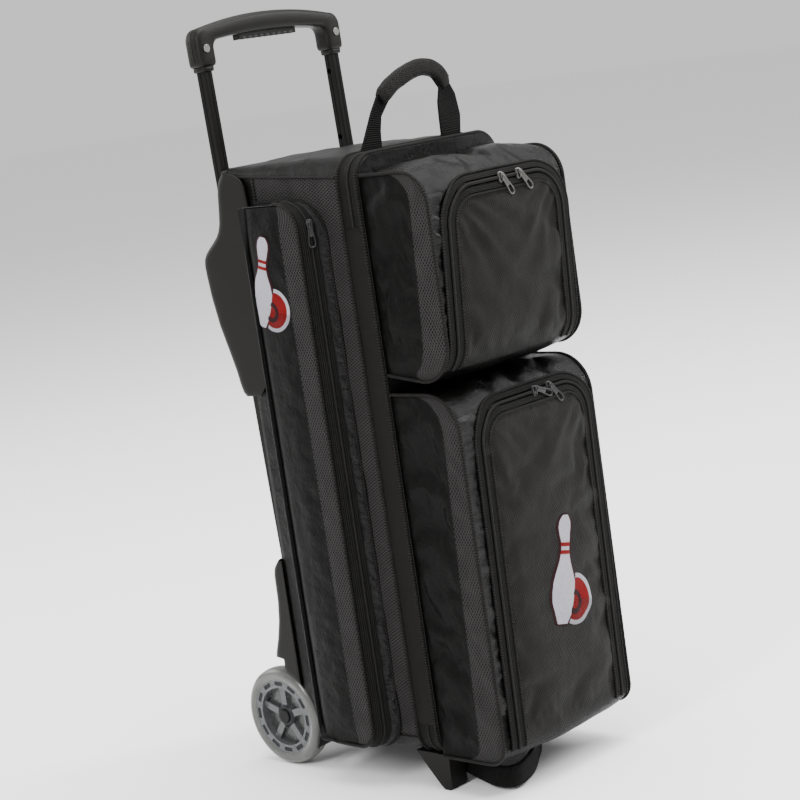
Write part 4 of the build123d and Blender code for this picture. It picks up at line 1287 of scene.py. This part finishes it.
# ------------------------------------------------------------------ pull handle grip
def grip_stations():
    """The left half of the grip, from its lower end to the middle: outer edge and inner edge as (x, height
    along the handle), and the share of its full depth."""
    stations = []
    for s, shrink in ((886.0, 3.0), (886.6, 1.4), (888.5, 0.4), (892.0, 0.0), (898.0, 0.0), (903.0, 0.0)):
        stations.append(((-123 + shrink, s), (-95.5 - shrink, s), 1 - shrink / 14))
    for k in range(9):
        turn = math.radians(90 * k / 8)
        outer = (-123 + 15 * (1 - math.cos(turn)), 917.5 + 15 * math.sin(turn))
        inner = (-95.5 + 11 * (1 - math.cos(turn)), 905.0 + 11.5 * math.sin(turn))
        stations.append((outer, inner, 1.0))
    for k in range(1, 25):
        share = k / 24
        outer = (-108 * (1 - share), 944 - 11.5 * (1 - share) ** 2)
        stations.append((outer, (-84.5 * (1 - share), 921 - 4.5 * (1 - share) ** 2), 1.0))
    return stations


def make_grip():
    up = Vector((0, math.sin(HANDLE_LEAN), math.cos(HANDLE_LEAN)))
    out = Vector((0, math.cos(HANDLE_LEAN), -math.sin(HANDLE_LEAN)))
    origin = Vector((0, 98.9, 0))
    stations = grip_stations()
    stations += [((-o[0], o[1]), (-i[0], i[1]), depth) for o, i, depth in stations[-2::-1]]
    rows = []
    for outer, inner, depth in stations:
        centre, arm = (Vector(outer) + Vector(inner)) / 2, (Vector(outer) - Vector(inner)) / 2
        row = []
        for a, b in super_ring(32, 0.5):
            flat = centre + arm * a
            row.append(origin + RIGHT * flat.x + up * flat.y + out * (13.5 * depth * b))
        rows.append(row)
    grip = grid("grip_body", rows, [GRIP], closed=True)
    face_outwards(grip, cap=True)
    finish_piece(grip, "handle", "grip_plastic", ["grip_front_half", "grip_rear_half"])
    # parting line of the two halves
    line = [origin + RIGHT * outer[0] + up * outer[1] for outer, _, _ in stations[3:-3]]
    section = [(0.35, -0.5), (0.35, 0.5), (-0.25, 0.5), (-0.25, -0.5)]
    finish_piece(strip("grip_seam", line, out, section, GRIP), "handle", "grip_plastic")
    # collars where the tubes leave the grip
    for name, side in SIDES:
        rows = [[origin + RIGHT * (side * 109.5 + (9.6 + grow) * c) + up * s + out * ((10.6 + grow) * d)
                 for c, d in super_ring(24, 0.45)] for s, grow in ((880.0, -0.6), (880.6, 0.0), (887.5, 0.4))]
        collar = grid(f"{name}_grip_collar", rows, [GRIP], closed=True)
        thicken(collar, 1.6)
        finish_piece(collar, "handle", "grip_plastic")


# ------------------------------------------------------------------ carry handle and grab strap
def ribbon(name, left, right, y, bow, thick, count=26, columns=9):
    """A flat band of webbing between two edge curves of (x, z) points."""
    edges = [resample([Vector((x, y, z)) for x, z in edge], 1.0) for edge in (left, right)]
    rows = []
    for k in range(count):
        share = k / (count - 1)
        p, q = [edge[round(share * (len(edge) - 1))] for edge in edges]
        row = []
        for j in range(columns):
            across = j / (columns - 1)
            point = p.lerp(q, across)
            point.y += bow * math.sin(math.pi * across) * math.sin(math.pi * share)
            point.y += 0.4 * folds(k * 3, j * 4, 7.7, 12)
            row.append(point)
        rows.append(row)
    piece = grid(name, rows, [WEBBING], flip=True)
    thicken(piece, thick)
    bevel(piece, 0.6, 2, 50)
    return piece


def make_carry_handle():
    low, high = node_box("carry_handle_webbing")
    y, base = (low.y + high.y) / 2, low.z
    left = ribbon("carry_web_left", [(-78, base), (-70, base + 14), (-53, 806), (-36, 829), (-22, 838)],
                  [(-43, base), (-41, 782), (-36, 799), (-21, 815), (-8, 824)], y, 2.0, 2.2)
    right = ribbon("carry_web_right", [(62, base), (62.5, 785), (64, 805), (69, 821), (60, 833)],
                   [(97, base), (101, 786), (97, 812), (85, 833), (72, 842)], y, 2.0, 2.2)
    finish_piece(left, "carry_handle", "webbing", ["carry_handle_webbing"])
    finish_piece(right, "carry_handle", "webbing")

    # the padded wrap
    bends = [(-34, 819), (-14, 832), (10, 842), (38, 848.5), (62, 845.5), (76, 835), (83, 822)]
    curve = smooth_curve(bends, 12)
    route = resample([Vector((x, y, z)) for x, z in curve], 2.2)
    sides = [tangent.cross(FORWARD) for tangent in tangents(route)]
    rows = []
    for index, (point, side) in enumerate(zip(route, sides)):
        end = min(index, len(route) - 1 - index)
        size = 0.72 + 0.28 * ease(end / 5)
        row = []
        for a, b in super_ring(28, 0.7):
            girth = size * (1 + 0.05 * folds(index * 2.2, a * 14 + b * 9, 3.3, 9, 1.3, 2.2) * ease(end / 6))
            pinch = 1 - 0.16 * math.exp(-((a + 0.72) / 0.16) ** 2)
            row.append(point + side * (a * 10.4 * girth) - FORWARD * (b * 6.6 * girth * pinch))
        rows.append(row)
    wrap = grid("carry_wrap", rows, [FLAP_DOBBY], closed=True)
    face_outwards(wrap, cap=True)
    soften(wrap)
    finish_piece(wrap, "carry_handle", "wrap_fabric", ["carry_handle_wrap"])
    lines = []
    for out in (FORWARD, -FORWARD):
        for offset in (-6.4, 6.4):
            path = [p + side * offset + out * 6.3 for p, side in zip(route[3:-3], sides[3:-3])]
            lines.append((path, out))
    finish_piece(stitch_row("carry_wrap_stitches", lines), "carry_handle", "wrap_fabric")

    # the sewn ends under the welt
    for name, x0, x1 in (("left", -77, -44), ("right", 63, 96)):
        heights = ((max(base - TOP + 1.2, 0.6), 0.0), (1.6, 3.0), (1.0, 8.0), (0.6, 12.0))
        rows = [[Vector((x, y + back, TOP + lift + 0.9)) for x in np.linspace(x0, x1, 9)]
                for lift, back in heights]
        foot = grid(f"carry_foot_{name}", rows, [WEBBING])
        thicken(foot, 1.6)
        finish_piece(foot, "bag", "webbing")


def make_grab_strap():
    mid_z = node_box("bottom_grab_strap")[0].z + 13.5
    flat = smooth_curve([(-75, -92), (-76, -104), (-80, -136), (-87, -168), (-80, -187), (-62, -188),
                         (-30, -175), (5, -152), (38, -130), (54, -112), (57, -92)], 12)
    route = resample([Vector((*p, mid_z)) for p in flat], 2.5)
    rows = []
    for index, (point, tangent) in enumerate(zip(route, tangents(route))):
        side = Vector((tangent.y, -tangent.x, 0))
        centre = min(index, len(route) - 1 - index) / (len(route) / 2)
        tall = 11.0 + 2.3 * ease(centre * 2)
        thick = 1.5 + 2.6 * ease((centre - 0.25) * 4)
        lift = 6.0 * (1 - ease(centre * 3))
        rows.append([point + side * (a * thick * (1 + 0.12 * folds(index * 2.5, b * 10, 8.8, 10)))
                     + UP * (lift + b * tall) for a, b in super_ring(24, 0.6)])
    strap = grid("grab_strap", rows, [WEBBING], closed=True)
    face_outwards(strap, cap=True)
    finish_piece(strap, "bag", "webbing", ["bottom_grab_strap"])
    for name, x in (("left", -75.5), ("right", 57.0)):
        edges = [[(x + sign * 8, 20), (x + sign * 9, 34), (x + sign * 12, BOTTOM - 0.5)] for sign in (-1, 1)]
        finish_piece(ribbon(f"grab_tab_{name}", *edges, -92.0, 1.0, 2.0, 12, 7), "bag", "webbing")


# ------------------------------------------------------------------ zip sliders and their pulls
PULL_LENGTH = 29.0
# half outlines, as (across, along): a slider's body from its top, and a pull's loop from its pivot
SLIDER_OUTLINE = (
    (0, 6.6), (2.6, 6.2), (4.2, 4.4), (4.4, 1.6), (3.0, -1.5), (3.1, -4.6), (1.9, -6.4), (0, -6.7),
)
PULL_OUTLINE = (
    (0, 0), (1.8, 0.4), (2.5, 2.2), (2.4, 9), (3.3, 20), (3.7, 24), (3.1, 27.6), (1.6, 29), (0, 29.2),
)
# a slider's body through its thickness: distance out, and share of its outline
SLIDER_LAYERS = (
    (-1.1, 0.0), (-1.1, 0.86), (-0.8, 0.98), (-0.35, 1.0), (-0.3, 0.84), (0.25, 0.84), (0.3, 1.0),
    (0.8, 0.97), (1.1, 0.84), (1.15, 0.0),
)


def mirrored(outline):
    """A closed outline from its half on one side."""
    return list(outline) + [(-a, b) for a, b in outline[-2:0:-1]]


def lay_on(finder, top, along, out):
    """Tips a pull outwards until all of it is clear of the cloth below it."""
    tip = 0.0
    for share in (0.3, 0.5, 0.7, 0.85, 1.0):
        reach = PULL_LENGTH * share
        here = top + along * reach
        tip = max(tip, ((finder(here + out * 30, out) - here).dot(out) + 1.6) / reach)
    return unit(along + out * tip)


def make_slider(spot, outward, material, centre=None, tilt=0.0, cloth=None):
    """A slider body and its pull, where the CAD solids are; a pull can lie tilted on the cloth under it."""
    out = unit(outward)
    side = UP.cross(out)
    if centre is None:
        low, high = node_box(f"{spot}_slider")
        centre = (low + high) / 2 - RIGHT * MID + out * 0.8

    def at(a, b, n):
        return centre + side * a + UP * b + out * n

    outline = mirrored(SLIDER_OUTLINE)
    rows = [[at(a * scale, b * scale, n) for a, b in outline] for n, scale in SLIDER_LAYERS]
    body = grid(f"{spot}_slider_shape", rows, [material], closed=True)
    face_outwards(body, weld=True)
    finish_piece(body, f"{spot}_slider_body", "zip_metal", [f"{spot}_slider"])
    turns = np.linspace(0.02, math.pi - 0.02, 15)
    arch = [at(0, 4.8 * math.cos(t), 1.0 + 2.7 * math.sin(t) ** 0.8) for t in turns]
    bridge = strip(f"{spot}_slider_bridge", arch, side, ring(0.85), material)
    finish_piece(bridge, f"{spot}_slider_body", "zip_metal")

    top = at(0, 3.4, 2.4)
    turn = math.radians(tilt)
    along = side * math.sin(turn) - UP * math.cos(turn)
    if cloth is not None:
        along = lay_on(surface_finder(cloth), top, along, out)
    across = unit(along.cross(out))
    face = unit(across.cross(along))
    loop = smooth_curve(mirrored(PULL_OUTLINE), 5, True)
    path = resample([top + across * a + along * b for a, b in loop], 1.2, True)
    rim = strip(f"{spot}_pull_rim", path, face, ring(1.0, flat=0.9), material, True)
    face_outwards(rim, weld=True)
    finish_piece(rim, f"{spot}_pull_body", "zip_metal", [f"{spot}_pull"])
    rows = []
    for b in np.linspace(2.6, 17.0, 12):
        wide = 2.3 + 0.7 * ease(b / 27)
        rows.append([top + across * (a * wide) + along * b + face * (0.6 - 0.25 * a * a)
                     for a in np.linspace(-1, 1, 7)])
    plate = grid(f"{spot}_pull_plate", rows, [material])
    thicken(plate, 1.1)
    finish_piece(plate, f"{spot}_pull_body", "zip_metal")


# ------------------------------------------------------------------ CAD pieces that stay
CAD_FINISHES = {
    BOARD: ("left_board", "right_board", "top_board", "base_board", "back_wall", "door_board"),
    FOAM: ("ball_cup_lower", "ball_cup_middle", "ball_cup_upper"),
    SHELL: ("front_feet", "axle_blocks"),
    GRIP: ("squeeze_bar",),
    TUBE: ("inner_tubes", "outer_tubes", "axle_bolts"),
    STEEL: (
        "grip_rivets", "shell_rivets", "foot_screws", "squeeze_springs", "lift_rods", "lock_pin_left",
        "lock_pin_right", "left_bearings", "right_bearings",
    ),
    TYRE: ("left_tyre", "right_tyre"),
    WHEEL: ("left_wheel_core", "right_wheel_core"),
}
CAD_EDGES = {
    "front_feet": 2.6, "left_wheel_core": 0.7, "right_wheel_core": 0.7, "inner_tubes": 0.3,
    "squeeze_bar": 1.2,
}


def finish_cad_nodes():
    for material, names in CAD_FINISHES.items():
        for name in names:
            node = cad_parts[name]
            if not node.material_slots:
                node.data.materials.append(material)
            for held in node.material_slots:
                held.material = material
    for name, width in CAD_EDGES.items():
        bevel(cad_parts[name], width, 3, 40, use_clamp_overlap=True)


# ------------------------------------------------------------------ wheel details
SLOT_COUNT = 12
SLOT_RADIUS = 43.8
TURNED_SIDES = 64
SLOT_OUTLINE = ((41.0, 5.4), (42.2, 6.9), (45.6, 6.9), (46.6, 5.4))      # radius, half-length along the rim


def wheel_point(x, radius, angle):
    return Vector((x, WHEEL_CENTRE.y + radius * math.cos(angle), WHEEL_CENTRE.z + radius * math.sin(angle)))


def wheel_piece(name, label, points, faces, material):
    """A flat-sided piece that turns with its wheel."""
    piece = mesh_piece(f"{name}_wheel_{label}", points, faces, [material])
    face_outwards(piece, weld=True)
    piece.data.polygons.foreach_set("use_smooth", [False] * len(piece.data.polygons))
    finish_piece(piece, f"{name}_wheel", "wheel_plastic")


def between_loops(near, far, size):
    """Faces that join one loop of points to the next one: near and far are their first points."""
    return [[near + i, near + (i + 1) % size, far + (i + 1) % size, far + i] for i in range(size)]


def make_wheel_details():
    """Painted shade in the slots round each wheel: dark plugs set just inside both its faces stand for the
    shadow in the slots. Also a thin web between its spokes, and a hub washer.
    """
    slot = list(SLOT_OUTLINE) + [(r, -half) for r, half in SLOT_OUTLINE[::-1]]
    size = len(slot)
    for name, side in SIDES:
        low, high = node_box(f"{name}_wheel_core")
        outer_x, inner_x = sorted((low.x - MID, high.x - MID), reverse=side > 0)
        points, faces = [], []
        # painted shade: a dark plug in every slot, on both faces, where the open slot only shows shadow
        for face_x, into in ((outer_x, -side), (inner_x, side)):
            for k in range(SLOT_COUNT):
                base = len(points)
                middle = 2 * math.pi * k / SLOT_COUNT
                for x in (face_x + into * 0.7, face_x + into * 5.6):
                    points += [wheel_point(x, r, middle + t / SLOT_RADIUS) for r, t in slot]
                faces.append([base + i for i in range(size)])
                faces.append([base + size + i for i in range(size)][::-1])
                faces += between_loops(base, base + size, size)
        wheel_piece(name, "slot_shade", points, faces, WHEEL_BLACK_AND_SLOT_SHADE)
        web_x = (outer_x + inner_x) / 2
        hub_x = node_box(f"{name}_bearings")[0 if side < 0 else 1].x - MID
        web = [(web_x - 1.2, 9.5), (web_x + 1.2, 9.5), (web_x + 1.2, 38.2), (web_x - 1.2, 38.2)]
        washer = ((0, 9.6), (0, 15.0), (1.0, 15.0), (3.2, 12.0), (3.2, 9.6))
        washer = [(hub_x + side * out, r) for out, r in washer]
        for label, material, profile in (("web", WHEEL_WEB, web), ("washer", WHEEL_BLACK_AND_SLOT_SHADE, washer)):
            wide = len(profile)
            points = [wheel_point(x, r, 2 * math.pi * k / TURNED_SIDES)
                      for k in range(TURNED_SIDES) for x, r in profile]
            faces = []
            for k in range(TURNED_SIDES):
                faces += between_loops(k * wide, (k + 1) % TURNED_SIDES * wide, wide)
            wheel_piece(name, label, points, faces, material)


# ------------------------------------------------------------------ stage
def area_light(name, where, size, power):
    """A lamp that points at the bag's middle."""
    data = bpy.data.lights.new(name, "AREA")
    data.shape = "RECTANGLE"
    data.size, data.size_y = size
    data.energy = power
    lamp = bpy.data.objects.new(name, data)
    lamp.location = where
    lamp.rotation_euler = (Vector((0, 0, 0.45)) - Vector(where)).to_track_quat("-Z", "Y").to_euler()
    bpy.context.scene.collection.objects.link(lamp)


def make_stage():
    """A pale floor, a white world and four lamps; here lengths are metres."""
    mesh = bpy.data.meshes.new("floor")
    mesh.from_pydata([(-30, -30, 0), (30, -30, 0), (30, 30, 0), (-30, 30, 0)], [], [(0, 1, 2, 3)])
    net = Net("floor")
    cloud = net.noise(net.place_mm(), 0.002, 2)
    mesh.materials.append(net.finish(net.mix(cloud, (0.95, 0.95, 0.95), (0.97, 0.97, 0.97)), 0.85))
    floor = bpy.data.objects.new("floor", mesh)
    bpy.context.scene.collection.objects.link(floor)
    world = bpy.data.worlds.new("studio")
    world.use_nodes = True
    background = world.node_tree.nodes["Background"]
    background.inputs["Color"].default_value = (1, 1, 1, 1)
    background.inputs["Strength"].default_value = 0.85
    bpy.context.scene.world = world
    area_light("overhead", (0.5, -0.8, 4.6), (4.5, 4.5), 520)
    area_light("front_right", (2.4, -2.0, 2.2), (0.5, 1.2), 95)
    area_light("left", (-2.6, -0.4, 2.0), (0.5, 1.4), 75)
    area_light("behind", (-0.9, 3.0, 1.8), (1.6, 1.6), 40)


def make_camera():
    data = bpy.data.cameras.new("camera")
    data.lens, data.sensor_width = 94.21, 36.0
    data.clip_end = 100
    camera = bpy.data.objects.new("camera", data)
    forward, lean = unit((0.7057, 0.6896, -0.1623)), Vector((0.2159, 0.0088, 0.9764))
    up = unit(lean - forward * forward.dot(lean))
    turn = Matrix((forward.cross(up), up, -forward)).transposed().to_4x4()
    camera.matrix_world = Matrix.Translation(place((-1816.3, -1788.0, 869.7))) @ turn
    bpy.context.scene.collection.objects.link(camera)
    bpy.context.scene.camera = camera


# ------------------------------------------------------------------ build
make_camera()
make_stage()
make_body()
make_door_seam()
upper = Pouch("upper", 8, 38, 42, ((-90, -107), (113, 99)), 712, 44, 1.9)
lower = Pouch("lower", 0, 45, 24, ((-88, -96), (108, 101)), 459, 40, 1.2)
pouches, skins, flaps, sides = (upper, lower), [], [], []
for pouch in pouches:
    skins.append(pouch_skin(pouch))
    flaps.append(pouch_flap(pouch))
    sides.append([pouch_side(pouch, name, side) for name, side in SIDES])
pocket = Pocket()
pocket_gusset(pocket)
pocket_panel = make_pocket_panel(pocket)
drape(flaps, 0.9, 0.03, cap=5.0)
drape([pocket_panel], 0.35, 0.004, cap=1.5)
drape([*sides[0], *sides[1], *skins], 0.5, 0.045)
for parts in zip(pouches, skins, flaps, sides):
    finish_pouch(*parts)
finish_pocket(pocket, pocket_panel)
make_shells()
make_grip()
make_carry_handle()
make_grab_strap()
for spot, pouch, flap, finish, x, tilt in (
    ("upper_left", upper, flaps[0], ZIP_METAL, 2, 34), ("upper_right", upper, flaps[0], ZIP_METAL, 34, 40),
    ("lower_left", lower, flaps[1], ZIP_BLACK, 14, 66), ("lower_right", lower, flaps[1], ZIP_BLACK, 40, 38),
):
    make_slider(spot, FORWARD, finish, pouch.surface(x, pouch.flap_top, 3.0, 0.0)[0], tilt, flap)
make_slider("door", RIGHT, ZIP_METAL)
make_slider("pocket", Vector((-21, -26, 0)), ZIP_BLACK)
make_wheel_details()
finish_cad_nodes()
make_emblem("front_emblem", flaps[1], "lower_flap_panel", Vector((15, -230, 246)), 132, FORWARD, RIGHT)
make_emblem("side_emblem", pocket_panel, "side_panel", Vector((-170, 33, 628)), 112, LEFT, FORWARD)
